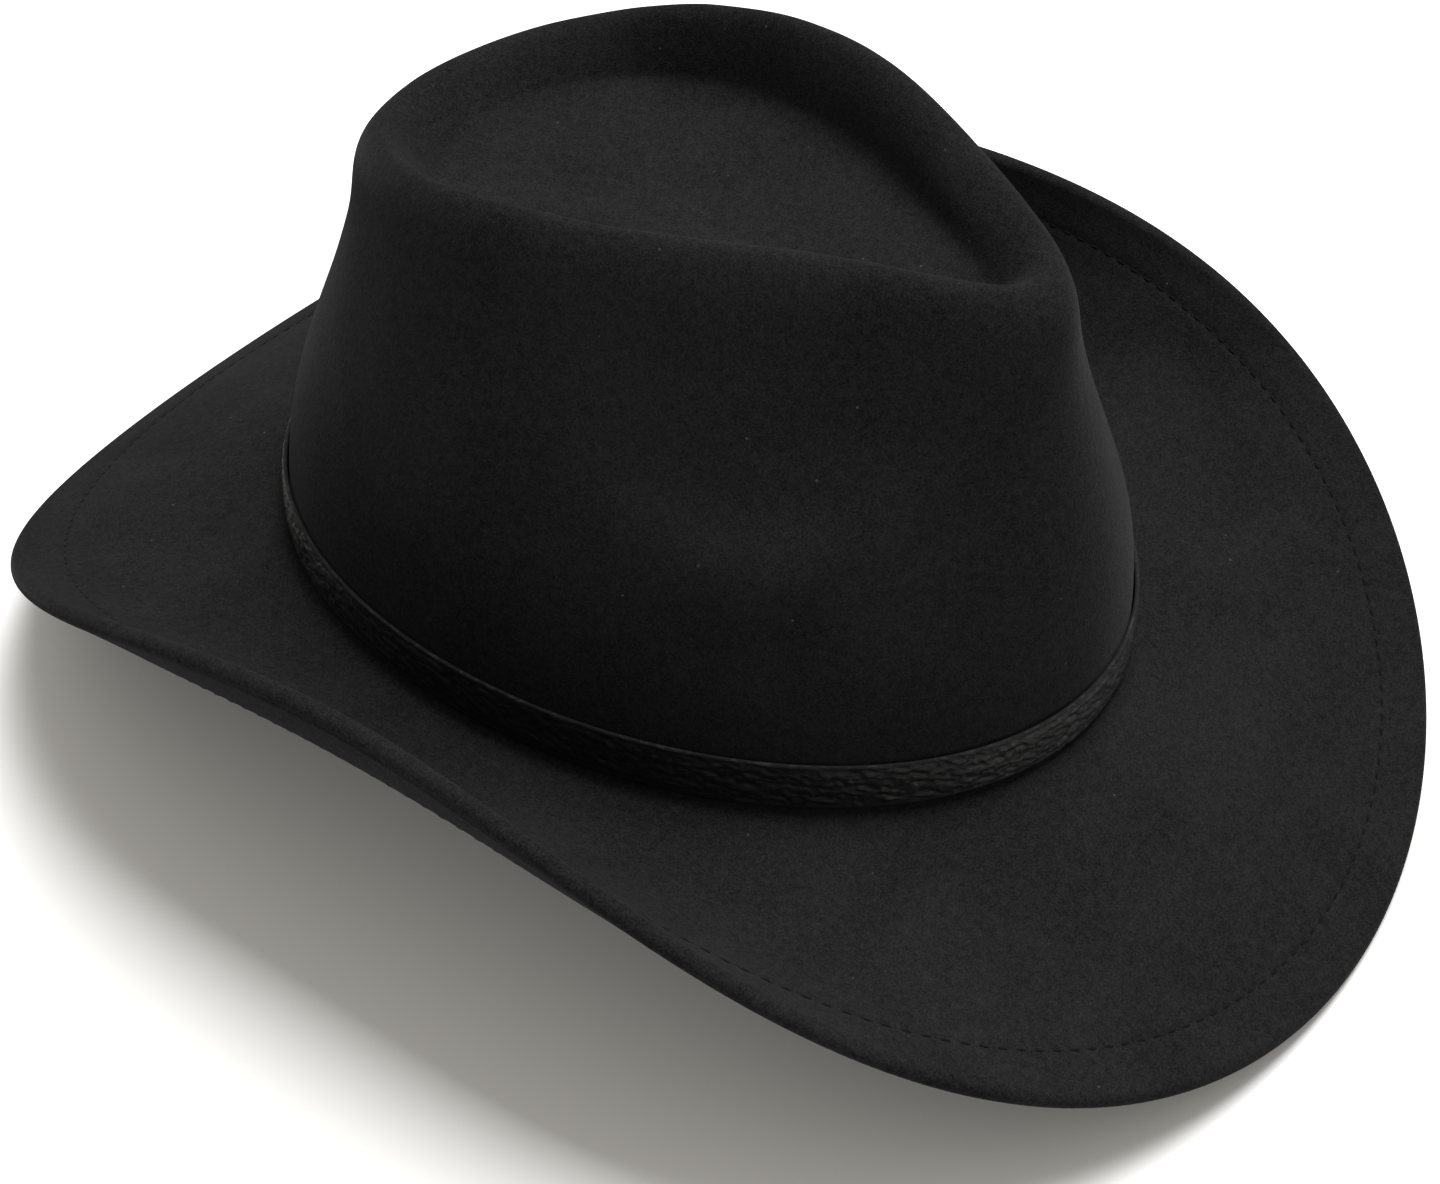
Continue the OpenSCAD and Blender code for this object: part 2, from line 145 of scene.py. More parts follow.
def crown_points(t):
    """Points that steer the crown at each angle: up the wall, over the rim, into the bowl."""
    s, c = np.sin(t), np.cos(t)
    oval = (BASE[0] * s, -BASE[1] * c)
    grip = pinched(t, PINCH)
    around = (grip * s, -c)
    rim = (RIM_HALF[0] * around[0], RIM_SHIFT + RIM_HALF[1] * around[1])
    rim_z = blend3(RIM_HEIGHT, t)
    rise = rim_z - base_z(t)
    push = dent(t) * DENT_DEPTH
    narrow = dent(t) ** 1.6 * DENT_DEPTH
    edge = (BOWL_HALF[0] * pinched(t, BOWL_PINCH) * s, BOWL_SHIFT - BOWL_HALF[1] * c)
    edge_z = blend3(FLOOR_EDGE, t)

    def wall(part, height, inward, grow=0.0):
        x = (1 - part) * oval[0] + part * (rim[0] + grow * around[0]) - inward * s
        y = (1 - part) * oval[1] + part * (rim[1] + grow * around[1]) + inward * c / 2
        return np.stack([x, y, base_z(t) + height], -1)

    def inner(part, drop, inward=0.0):
        x = rim[0] + part * (edge[0] - rim[0]) - inward * s
        y = rim[1] + part * (edge[1] - rim[1]) + inward * c / 2
        return np.stack([x, y, rim_z + drop * (edge_z - rim_z)], -1)

    def floor(share, z):
        y = BOWL_SHIFT + (edge[1] - BOWL_SHIFT) * share
        return np.stack([edge[0] * share, y, z + 0 * t], -1)

    return np.array([
        wall(0, 0 * t, 0), wall(0, 8 + 0 * t, 0),
        wall(0.10, rise * 0.30, narrow * DENT_AT[0]), wall(0.41, rise * 0.55, narrow * DENT_AT[1]),
        wall(0.74, rise * 0.80, narrow * DENT_AT[2]),
        wall(1, rise - SHOULDER[1], push, SHOULDER[0]), wall(1, rise + SHOULDER[2], push),
        inner(0.55, 0.44, push * 0.8), inner(0.86, 0.84),
        floor(1, edge_z), floor(0.55, 0.65 * FLOOR_MIDDLE + 0.35 * edge_z), floor(0, FLOOR_MIDDLE)])


def curve_rows(points, places):
    """Rows of the smooth cubic curve that the points steer, one for each place along it."""
    steer = np.concatenate([points[:1], points[:1], points, points[-1:], points[-1:]])
    rows = []
    for place in places:
        i = min(int(place), len(steer) - 4)
        f = place - i
        weights = ((1 - f) ** 3, 3 * f ** 3 - 6 * f * f + 4,
                   -3 * f ** 3 + 3 * f * f + 3 * f + 1, f ** 3)
        rows.append(sum(w * p for w, p in zip(weights, steer[i:i + 4])) / 6)
    return np.array(rows)


def wall_at(t, z, n):
    """Points n outside the crown's wall at height z, with a row of z and n for each angle of t."""
    z, n = np.broadcast_arrays(z, n)
    rows = curve_rows(crown_points(t), WALL_PLACES)
    nx, ny = outward(t)
    x = np.array([np.interp(z[i], rows[:, i, 2], rows[:, i, 0]) for i in range(len(t))])
    y = np.array([np.interp(z[i], rows[:, i, 2], rows[:, i, 1]) for i in range(len(t))])
    return np.stack([x + n * nx[:, None], y + n * ny[:, None], z], -1)


def brim_slope(t, s):
    """Slope of the brim in radians at distance s from the crown."""
    start = blend3(BRIM_START, t)
    end = blend3(BRIM_EDGE, t) + ROLL_REACH * (np.cos(4 * t) - 1)
    return np.radians(start + (end - start) * (s / blend3(BRIM_WIDTH, t)) ** ROLL_START)


def brim_rows(t, distances):
    """Distance out, height and slope of the brim's top at each distance along it."""
    rows, r, z, last = [], FILLET + 0 * t, base_z(t), 0 * t
    for s in distances:
        for k in range(3):
            step = (s - last) / 3
            middle = last + (k + 0.5) * step
            r = r + step * np.cos(brim_slope(t, middle))
            z = z + step * np.sin(brim_slope(t, middle))
        last = s
        rows.append((r, z, brim_slope(t, s)))
    return rows


def out_at(t, r, z):
    """Points at distance r outside the base oval, and height z."""
    nx, ny = outward(t)
    return np.stack([BASE[0] * np.sin(t) + r * nx, -BASE[1] * np.cos(t) + r * ny, z + 0 * t], -1)


def below(row, depth):
    r, z, slope = row
    return r + depth * np.sin(slope), z - depth * np.cos(slope)


def waves(x, y, seed):
    """Smooth random heights between about -1 and 1, with features one unit across."""
    turns = np.random.default_rng(seed).random((64, 64)) * 2 * np.pi
    i, j = np.floor(x).astype(int), np.floor(y).astype(int)
    total = 0
    for a in (0, 1):
        for b in (0, 1):
            f, g = x - i - a, y - j - b
            angle = turns[(i + a) % 64, (j + b) % 64]
            near = (1 - np.abs(f)) * (1 - np.abs(g))
            total = total + (np.cos(angle) * f + np.sin(angle) * g) * near * near * (3 - 2 * near)
    return total * 2.2


def smooth_step(x, start, end):
    f = np.clip((x - start) / (end - start), 0, 1)
    return f * f * (3 - 2 * f)


# ---- mesh helpers
def make_mesh(name, points, faces):
    """A mesh object from points in millimetres in the hat's own frame."""
    mesh = bpy.data.meshes.new(name)
    placed = (np.asarray(points, float).reshape(-1, 3) + PLACE) * METRE
    mesh.from_pydata(placed.tolist(), [], faces)
    mesh.update()
    mesh.polygons.foreach_set("use_smooth", [True] * len(mesh.polygons))
    piece = bpy.data.objects.new(name, mesh)
    bpy.context.scene.collection.objects.link(piece)
    return piece


def grid_faces(rows, columns, closed=False):
    """Faces of a grid whose columns close on themselves, and its rows too if it is closed."""
    i, j = (index.ravel() for index in np.mgrid[0:rows - (not closed), 0:columns])
    up, side = (i + 1) % rows * columns, (j + 1) % columns
    return np.stack([i * columns + j, i * columns + side, up + side, up + j], -1)


def lay_out(piece, faces, along, across, round_length=0.0):
    """Adds a UV map in metres. The last column of a closed piece runs on to round_length."""
    uv = piece.data.uv_layers.new(name="lay")
    u, v = along.ravel()[faces], across.ravel()[faces]
    if round_length:
        jump = (u.max(1) - u.min(1)) > round_length / 2
        u = np.where(jump[:, None] & (u < round_length / 2), u + round_length, u)
    flat = np.stack([u, v], -1).reshape(-1, 2) * METRE
    values = np.zeros((len(piece.data.loops), 2), np.float32)
    values[:len(flat)] = flat
    uv.data.foreach_set("uv", values.ravel())


def grid_normals(grid):
    """Normals of a grid whose columns close round the hat."""
    down = np.gradient(grid, axis=0)
    side = np.roll(grid, -1, axis=1) - np.roll(grid, 1, axis=1)
    normal = np.cross(down, side)
    return normal / np.linalg.norm(normal, axis=-1, keepdims=True)


def stitch_row(name, centres, along, up, length, thick):
    """A row of separate stitches: rounded threads that dive into the surface at both ends."""
    sides = 8
    along = along / np.linalg.norm(along, axis=-1, keepdims=True)
    up = up - (up * along).sum(-1, keepdims=True) * along
    up = up / np.linalg.norm(up, axis=-1, keepdims=True)
    across = np.cross(along, up)
    # share of the length, share of the thickness and height in half thicknesses
    shape = [(-0.5, 0.45, -1.3), (-0.42, 0.85, -0.5), (-0.25, 1.0, 0.15), (0.0, 1.0, 0.35),
             (0.25, 1.0, 0.15), (0.42, 0.85, -0.5), (0.5, 0.45, -1.3)]
    a = circle(sides)
    r = thick / 2
    rings = [centres[:, None] + along[:, None] * x * length
             + up[:, None] * r * (lift + wide * np.sin(a))[None, :, None]
             + across[:, None] * r * wide * np.cos(a)[None, :, None] for x, wide, lift in shape]
    points = np.stack(rings, 1)
    one = grid_faces(len(shape), sides)[:, ::-1]
    each = len(shape) * sides
    faces = (one[None] + (np.arange(len(centres)) * each)[:, None, None]).reshape(-1, 4).tolist()
    for k in range(len(centres)):
        faces.append([k * each + j for j in range(sides)])
        faces.append([(k + 1) * each - 1 - j for j in range(sides)])
    return make_mesh(name, points, faces)


def swept_loop(name, rings, closed=True):
    """A piece from rings of points: a closed loop, or one with flat ends."""
    rings = np.asarray(rings)
    m, n = rings.shape[:2]
    faces = grid_faces(m, n, closed)
    listed = faces.tolist()
    if not closed:
        listed.append(list(range(n))[::-1])
        listed.append(list(range((m - 1) * n, m * n)))
    return make_mesh(name, rings, listed), faces


def face_outward(piece):
    """Turns every face outward."""
    work = bmesh.new()
    work.from_mesh(piece.data)
    bmesh.ops.recalc_face_normals(work, faces=work.faces)
    work.to_mesh(piece.data)
    work.free()
    return piece


# ---- camera and light
# The camera looks down on the hat from the wearer's front right. Places here are in metres.
VIEW_AZIMUTH, VIEW_ELEVATION, VIEW_ROLL = -58.32, 42.32, 2.49
VIEW_TARGET = Vector((0.00811, 0.00412, 0.00312))
VIEW_DISTANCE, VIEW_LENS = 0.51356, 52.66
SKY_COLOUR, SKY_STRENGTH = (1.0, 0.965, 0.89, 1), 0.58
LAMP_PLACE, LAMP_TARGET = (0.54, 0.03, 1.72), (0, 0, 0.05)
LAMP_SIZE, LAMP_POWER = 0.9, 45


def add_camera():
    a, e, roll = (math.radians(x) for x in (VIEW_AZIMUTH, VIEW_ELEVATION, VIEW_ROLL))
    back = Vector((math.sin(a) * math.cos(e), -math.cos(a) * math.cos(e), math.sin(e)))
    right = Vector((math.cos(a), math.sin(a), 0))
    up = back.cross(right)
    right, up = (right * math.cos(roll) + up * math.sin(roll),
                 up * math.cos(roll) - right * math.sin(roll))
    lens = bpy.data.cameras.new("view")
    lens.sensor_fit, lens.sensor_width, lens.lens = "HORIZONTAL", 36.0, VIEW_LENS
    lens.clip_start, lens.clip_end = 0.01, 50
    camera = bpy.data.objects.new("view", lens)
    camera.matrix_world = (Matrix.Translation(VIEW_TARGET + back * VIEW_DISTANCE)
                           @ Matrix((right, up, back)).transposed().to_4x4())
    bpy.context.scene.collection.objects.link(camera)
    bpy.context.scene.camera = camera


def add_light():
    """One large soft lamp, high over the wearer's left side."""
    lamp = bpy.data.lights.new("overhead", "AREA")
    lamp.shape, lamp.size, lamp.size_y = "RECTANGLE", LAMP_SIZE, LAMP_SIZE
    lamp.energy = LAMP_POWER
    light = bpy.data.objects.new("overhead", lamp)
    light.location = LAMP_PLACE
    aim = Vector(LAMP_TARGET) - Vector(LAMP_PLACE)
    light.rotation_euler = aim.to_track_quat("-Z", "Y").to_euler()
    bpy.context.scene.collection.objects.link(light)


def add_sky():
    world = bpy.data.worlds.new("studio")
    world.use_nodes = True
    sky = world.node_tree.nodes["Background"].inputs
    sky["Color"].default_value, sky["Strength"].default_value = SKY_COLOUR, SKY_STRENGTH
    bpy.context.scene.world = world


add_camera()
bpy.context.scene.view_settings.view_transform = "Standard"
add_sky()
add_light()


# ---- materials
class Shader:
    """A Principled material and short ways to add its nodes."""

    def __init__(self, name):
        self.material = bpy.data.materials.new(name)
        self.material.use_nodes = True
        self.nodes, self.links = self.material.node_tree.nodes, self.material.node_tree.links
        self.main = self.nodes["Principled BSDF"]

    def fix(self, **values):
        for key, value in values.items():
            self.main.inputs[key.replace("_", " ")].default_value = value
        return self

    def feed(self, socket, value):
        """Links another node's output to the socket, or sets its value."""
        if isinstance(value, bpy.types.NodeSocket):
            self.links.new(value, socket)
        else:
            socket.default_value = value

    def node(self, kind, settings=None, **inputs):
        """A node with its inputs given by name, or as i0, i1 and so on by number."""
        made = self.nodes.new(kind)
        for key, value in (settings or {}).items():
            setattr(made, key, value)
        for key, value in inputs.items():
            numbered = key[0] == "i" and key[1:].isdigit()
            self.feed(made.inputs[int(key[1:]) if numbered else key.replace("_", " ")], value)
        return made

    def place(self):
        return self.node("ShaderNodeTexCoord").outputs["Object"]

    def lay(self, stretch=(1, 1), turn=0.0):
        """The piece's own flat layout, in metres."""
        uv = self.node("ShaderNodeUVMap", {"uv_map": "lay"}).outputs["UV"]
        return self.node("ShaderNodeMapping", None, Vector=uv, Rotation=(0, 0, turn),
                         Scale=(stretch[0], stretch[1], 1)).outputs["Vector"]

    def noise(self, where, scale, detail=3.0, rough=0.55, twist=0.0):
        return self.node("ShaderNodeTexNoise", None, Vector=where, Scale=scale, Detail=detail,
                         Roughness=rough, Distortion=twist).outputs["Fac"]

    def cells(self, where, scale, feature="F1"):
        return self.node("ShaderNodeTexVoronoi", {"feature": feature}, Vector=where, Scale=scale)

    def sum(self, kind, a, b, c=None, clamp=False):
        third = {} if c is None else {"i2": c}
        settings = {"operation": kind, "use_clamp": clamp}
        return self.node("ShaderNodeMath", settings, i0=a, i1=b, **third).outputs[0]

    def spread(self, value, low, high, to_low=0.0, to_high=1.0):
        return self.node("ShaderNodeMapRange", {"interpolation_type": "SMOOTHSTEP"}, Value=value,
                         From_Min=low, From_Max=high, To_Min=to_low, To_Max=to_high).outputs[0]

    def mix(self, share, a, b):
        made = self.node("ShaderNodeMix", {"data_type": "RGBA"}, i0=share)
        for number, colour in ((6, a), (7, b)):
            self.feed(made.inputs[number], (*colour, 1) if isinstance(colour, tuple) else colour)
        return made.outputs[2]

    def bump(self, height, distance, strength, under=None):
        over = {} if under is None else {"Normal": under}
        return self.node("ShaderNodeBump", None, Height=height, Distance=distance,
                         Strength=strength, **over).outputs["Normal"]

    def wear(self, colour, rough, normal=None):
        """Links the last nodes to the material and returns it."""
        self.links.new(colour, self.main.inputs["Base Color"])
        self.links.new(rough, self.main.inputs["Roughness"])
        if normal is not None:
            self.links.new(normal, self.main.inputs["Normal"])
        return self.material


def felt_material():
    """Short-napped black wool felt: mottled, matte, with a little lint caught on it."""
    s = Shader("black_felt").fix(Sheen_Weight=0.062, Sheen_Roughness=0.32,
                                 Sheen_Tint=(0.80, 0.80, 0.84, 1), Specular_IOR_Level=0.0)
    at = s.place()
    nap = s.noise(at, 2300, 3, 0.7)
    clump = s.noise(at, 620, 4, 0.6, 0.6)
    cloud = s.noise(at, 30, 3, 0.5, 0.8)
    tone = s.sum("MULTIPLY", s.spread(nap, 0.36, 0.68), 0.58)
    tone = s.sum("MULTIPLY_ADD", s.spread(clump, 0.28, 0.75), 0.33, tone)
    tone = s.sum("MULTIPLY_ADD", s.spread(cloud, 0.3, 0.7), 0.18, tone)
    colour = s.mix(tone, (0.0052, 0.0052, 0.0057), (0.0200, 0.0200, 0.0213))
    specks = s.cells(at, 150.0)
    lint = s.spread(specks.outputs["Distance"], 0.03, 0.05, 1.0, 0.0)
    chance = s.node("ShaderNodeSeparateColor", None, Color=specks.outputs["Color"]).outputs[0]
    few = s.sum("MULTIPLY", lint, s.sum("GREATER_THAN", chance, 0.5))
    colour = s.mix(s.sum("MULTIPLY", few, 0.4), colour, (0.10, 0.098, 0.095))
    rough = s.spread(clump, 0.3, 0.7, 0.98, 0.86)
    normal = s.bump(nap, 0.00022, 0.75, s.bump(clump, 0.0005, 0.35))
    return s.wear(colour, rough, normal)


def leather_material(name, dark, light, grain):
    """Soft leather with a fine pore grain, for the pieces inside the hat."""
    s = Shader(name).fix(Specular_IOR_Level=0.45, Sheen_Weight=0.05)
    at = s.place()
    pores = s.cells(at, grain).outputs["Distance"]
    folds = s.noise(at, grain * 0.25, 4, 0.6, 1.2)
    cloud = s.noise(at, 45, 3, 0.55, 0.5)
    worn = s.sum("MULTIPLY", s.spread(cloud, 0.25, 0.75), 0.35)
    tone = s.sum("MULTIPLY_ADD", s.spread(folds, 0.3, 0.7), 0.5, worn)
    rough = s.sum("MULTIPLY_ADD", s.spread(pores, 0.1, 0.6), -0.2, 0.62)
    normal = s.bump(pores, 0.00012, 0.5, s.bump(folds, 0.00036, 0.5))
    return s.wear(s.mix(tone, dark, light), rough, normal)


def band_material():
    """Black creased leather: glossier on the crests of its wrinkles, and dull on its cut edges. Its
    colour is also lighter along the crests, a painted highlight.
    """
    s = Shader("band_leather").fix(Specular_IOR_Level=0.33, Coat_Weight=0.0)
    wrinkle = s.noise(s.lay((0.3, 1.0), 0.3), 500, 2, 0.5, 1.0)
    crest = s.spread(s.sum("ABSOLUTE", s.sum("SUBTRACT", wrinkle, 0.5), 0.0), 0.0, 0.06, 1.0, 0.0)
    pebble = s.cells(s.lay((0.7, 1.0), -0.3), 1000, "SMOOTH_F1").outputs["Distance"]
    fine = s.noise(s.place(), 3200, 3, 0.6)
    # painted highlight: the colour is lighter along the crests of the wrinkles, where they would catch
    # the light
    tone = s.sum("MULTIPLY_ADD", crest, 0.5, s.sum("MULTIPLY", fine, 0.35))
    colour = s.mix(tone, (0.0014, 0.0014, 0.0018), (0.0135, 0.0135, 0.0155))
    across = s.node("ShaderNodeSeparateXYZ", None, Vector=s.lay()).outputs[1]
    cut_edge = s.spread(s.sum("ABSOLUTE", across, 0.0), 0.0048, 0.0052)
    face = s.spread(crest, 0.0, 1.0, 0.54, 0.38)
    rough = s.sum("MULTIPLY_ADD", cut_edge, 0.36, face, clamp=True)
    grain = s.bump(pebble, 0.00010, 0.35, s.bump(crest, 0.00010, 0.4))
    return s.wear(colour, rough, s.bump(fine, 0.00003, 0.4, grain))


def metal_material(name, colour, dull, rough=(0.28, 0.5), scale=400.0):
    """Metal with dull patches and fine brushed lines."""
    s = Shader(name).fix(Metallic=1.0)
    at = s.place()
    marks = s.noise(at, scale, 5, 0.65, 0.4)
    drawn = s.node("ShaderNodeMapping", None, Vector=at, Scale=(1, 0.08, 1)).outputs["Vector"]
    fine = s.noise(drawn, scale * 9, 2, 0.5)
    tone = s.spread(marks, 0.35, 0.65)
    normal = s.bump(fine, 0.00003, 0.4, s.bump(marks, 0.00006, 0.3))
    return s.wear(s.mix(tone, dull, colour),
                  s.sum("MULTIPLY_ADD", tone, rough[0] - rough[1], rough[1]), normal)


def thread_material(name, dark, light, sheen, shine):
    """Twisted sewing thread."""
    s = Shader(name).fix(Sheen_Weight=sheen, Sheen_Roughness=0.35, Specular_IOR_Level=shine)
    at = s.place()
    ply = s.noise(at, 2600, 2, 0.5, 0.8)
    strand = s.node("ShaderNodeTexWave", {"bands_direction": "DIAGONAL"}, Vector=at,
                    Scale=1500.0, Distortion=1.5, Detail=1.0).outputs["Fac"]
    tone = s.sum("MULTIPLY_ADD", strand, 0.6, s.sum("MULTIPLY", ply, 0.4))
    return s.wear(s.mix(tone, dark, light), s.spread(ply, 0.3, 0.7, 0.6, 0.8),
                  s.bump(strand, 0.0001, 0.6))


def weave_material(name, dark, light, scale, shine, rough):
    """Woven cloth: crossing threads, from the piece's own flat layout."""
    s = Shader(name).fix(Sheen_Weight=shine, Sheen_Roughness=0.3, Specular_IOR_Level=0.5)
    flat = s.lay()
    warp, weft = (s.node("ShaderNodeTexWave", {"bands_direction": way}, Vector=flat, Scale=scale,
                         Distortion=0.3).outputs["Fac"] for way in "XY")
    cross = s.sum("MULTIPLY", warp, weft)
    cloud = s.noise(s.place(), 260, 3, 0.5)
    tone = s.sum("MULTIPLY_ADD", cross, 0.7, s.sum("MULTIPLY", cloud, 0.3))
    return s.wear(s.mix(tone, dark, light), s.spread(cloud, 0.3, 0.7, rough[0], rough[1]),
                  s.bump(cross, 0.00012, 0.6))


FELT_LOOK = felt_material()
BAND_LOOK = band_material()
SWEAT_LOOK = leather_material("sweatband_leather", (0.010, 0.0095, 0.009),
                              (0.034, 0.031, 0.029), 1100.0)
REED_LOOK = leather_material("reed_leather", (0.008, 0.008, 0.008), (0.026, 0.025, 0.024), 1400.0)
STEEL_LOOK = metal_material("spring_steel", (0.52, 0.53, 0.55), (0.34, 0.35, 0.37))
SLEEVE_LOOK = metal_material("sleeve_brass", (0.60, 0.56, 0.44), (0.42, 0.38, 0.29))
BUCKLE_LOOK = metal_material("aged_nickel", (0.56, 0.55, 0.52), (0.24, 0.23, 0.21),
                             (0.24, 0.46), 520.0)
THREAD_LOOK = thread_material("black_thread", (0.0022, 0.0022, 0.0025),
                              (0.0090, 0.0090, 0.0098), 0.03, 0.04)
INNER_THREAD_LOOK = thread_material("grey_thread", (0.012, 0.012, 0.013),
                                    (0.055, 0.055, 0.058), 0.3, 0.35)
LABEL_THREAD_LOOK = thread_material("pale_thread", (0.42, 0.41, 0.38),
                                    (0.70, 0.69, 0.65), 0.3, 0.35)
RIBBON_LOOK = weave_material("satin_ribbon", (0.006, 0.006, 0.008), (0.036, 0.036, 0.042),
                             1900.0, 0.5, (0.28, 0.42))
LABEL_LOOK = weave_material("label_cloth", (0.56, 0.55, 0.52), (0.80, 0.79, 0.75),
                            1300.0, 0.2, (0.7, 0.85))


def floor_material():
    s = Shader("pale_floor").fix(Specular_IOR_Level=0.1)
    cloud = s.noise(s.place(), 3.0, 2, 0.5)
    return s.wear(s.mix(cloud, (0.86, 0.855, 0.85), (0.89, 0.885, 0.88)),
                  s.spread(cloud, 0.3, 0.7, 0.9, 0.95))


def paint(piece, look):
    piece.data.materials.clear()
    piece.data.materials.append(look)


def finish_piece(piece, look, body, slot, *nodes):
    """Gives a piece its material, its body and the CAD nodes that it stands for."""
    paint(piece, look)
    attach(piece, body)
    if nodes:
        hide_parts(*nodes)


# ---- felt
AROUND = 420


def hand_blocked(grid, fade):
    """Small, slow unevenness of felt that was shaped by hand."""
    x, y, z = grid[..., 0] / 34, grid[..., 1] / 34, grid[..., 2] / 34
    return fade * (waves(x + 9, y + z * 0.8 + 7, 5) + 0.5 * waves(x * 2.2 + 5, y * 2.2 - z + 30, 6))


def dent_lip(t, high):
    """A soft ledge of felt under each side dent, highest in its middle."""
    total = 0
    for centre in (LIP_ANGLE, -LIP_ANGLE):
        away = degrees_from(t, centre) / LIP_SPREAD
        over = high - LIP_HEIGHT - LIP_ARCH * away ** 2
        fade = np.where(over > 0, LIP_ABOVE, LIP_BELOW)
        total = total + np.exp(-away ** 2) * np.exp(-(over / fade) ** 2)
    return total


def swell(points, s, width):
    """Lifts points of the brim's open middle a little, up and down."""
    fade = smooth_step(s, 8, 20) * (1 - smooth_step(s, width - 24, width - 11))
    points[:, 2] += 0.5 * hand_blocked(points, fade)
    return points


def crown_skin(t, places):
    """Rows of the crown's outer skin at the places along its curve, and their normals."""
    grid = curve_rows(crown_points(t), places)
    normal = grid_normals(grid) * (-1 if places[0] > places[-1] else 1)
    high = grid[..., 2] - base_z(t)
    lip = LIP_OUT * dent_lip(t, high) * (places < 6)[:, None]
    uneven = 0.3 * hand_blocked(grid, smooth_step(high, 38, 60))
    nx, ny = outward(t)
    grid = grid + np.stack([lip * nx, lip * ny, 0 * lip], -1)
    return grid + normal * uneven[..., None], normal


def build_felt():
    """The felt's skin, ring by ring: down the crown, out along the brim, round the hem and back."""
    t = circle(AROUND)
    width = blend3(BRIM_WIDTH, t)
    hem, fold, stitch = width - HEM_DEPTH, width - HEM_THICK / 2, width - STITCH_IN
    outside, _ = crown_skin(t, np.concatenate([
        [12.92, 12.7, 12.4], np.arange(12.1, 10.4, -0.17), np.arange(10.3, 5.9, -0.085),
        np.arange(5.85, 2, -0.13), np.arange(1.9, 0.3, -0.2), [0.15, 0.0]]))
    under_crown, normal = crown_skin(t, np.concatenate([
        [0.0], np.arange(0.4, 6, 0.2), np.arange(6.1, 10.3, 0.13), np.arange(10.5, 12.9, 0.25)]))
    inside = under_crown + normal * np.sign(normal[12, 0, 1]) * FELT

    # the top of the brim, with a groove along the stitches
    near_stitch = [-2.2, -1.5, -1.0, -0.65, -0.3, 0.0, 0.3, 0.65, 1.0, 1.6]
    distances = ([hem * k / 34 for k in range(34)] + [stitch + d for d in near_stitch]
                 + [stitch + 2.3 + (fold - stitch - 2.3) * k / 7 for k in range(8)])
    top = brim_rows(t, distances)
    brim_top = []
    for row, s in zip(top, distances):
        groove = 0.24 * np.exp(-((s - stitch) / 0.85) ** 2)
        puff = 0.10 * np.exp(-((s - stitch - 3.5) / 1.8) ** 2)
        brim_top.append(swell(out_at(t, *below(row, groove - puff)), s, width))

    # the rounded fold at the edge
    centre, lean = below(top[-1], HEM_THICK / 2), top[-1][2]
    turned = [out_at(t, centre[0] + HEM_THICK / 2 * np.cos(a + lean),
                     centre[1] + HEM_THICK / 2 * np.sin(a + lean))
              for a in np.radians(np.arange(78, -91, -12))]

    # the underside of the hem, its raw edge, and the brim's underside further in
    under_at = [fold - (fold - hem) * k / 16 for k in range(1, 17)]
    rows = brim_rows(t, under_at[::-1])[::-1]
    hem_under = []
    for row, s in zip(rows, under_at):
        groove = 0.35 * np.exp(-((s - stitch) / 0.7) ** 2)
        rise = 0.35 * smooth_step(hem + 0.6 - s, 0, 0.6)
        hem_under.append(out_at(t, *below(row, HEM_THICK - groove - rise)))
    raw, slope = [], rows[-1][2]
    for depth, inward in ((HEM_THICK - 0.75, 0.16), (HEM_THICK - 1.3, 0.2), (FELT + 0.25, 0.22),
                          (FELT + 0.02, 0.45)):
        r, z = below(rows[-1], depth)
        raw.append(out_at(t, r - inward * np.cos(slope), z - inward * np.sin(slope)))
    low_at = [hem * k / 26 for k in range(26)]
    brim_low = [swell(out_at(t, *below(row, FELT)), s, width)
                for row, s in zip(brim_rows(t, low_at), low_at)][::-1]
    middle = 0.5 * (brim_low[-1] + inside[0])
    corner = np.stack([inside[0][:, 0], inside[0][:, 1], brim_low[-1][:, 2]], -1)
    elbow = middle + 0.22 * (corner - middle)

    grid = np.concatenate([outside, brim_top, turned, hem_under, raw, brim_low, [elbow], inside])
    poles = [[0, BOWL_SHIFT, FLOOR_MIDDLE], [0, BOWL_SHIFT, FLOOR_MIDDLE - FELT]]
    points = np.concatenate([grid.reshape(-1, 3), poles])
    faces = grid_faces(len(grid), AROUND).tolist()
    top_pole, low_pole, last = len(points) - 2, len(points) - 1, (len(grid) - 1) * AROUND
    for j in range(AROUND):
        k = (j + 1) % AROUND
        faces += [[top_pole, k, j], [low_pole, last + j, last + k]]
    return face_outward(make_mesh("felt_shell", points, faces))


finish_piece(build_felt(), FELT_LOOK, "hat", "felt", "felt_body")


# ---- stitches along the hem
def even_angles(line, pitch):
    """Angles of evenly spaced places round a closed line that was sampled at even angles."""
    step = np.linalg.norm(np.roll(line, -1, 0) - line, axis=1)
    run = np.concatenate([[0], np.cumsum(step)])
    count = int(run[-1] / pitch)
    at = np.interp(np.arange(count) / count * run[-1], run, np.arange(len(run)))
    return at * 2 * np.pi / len(line)


def tangents(line):
    return np.roll(line, -1, 0) - np.roll(line, 1, 0)


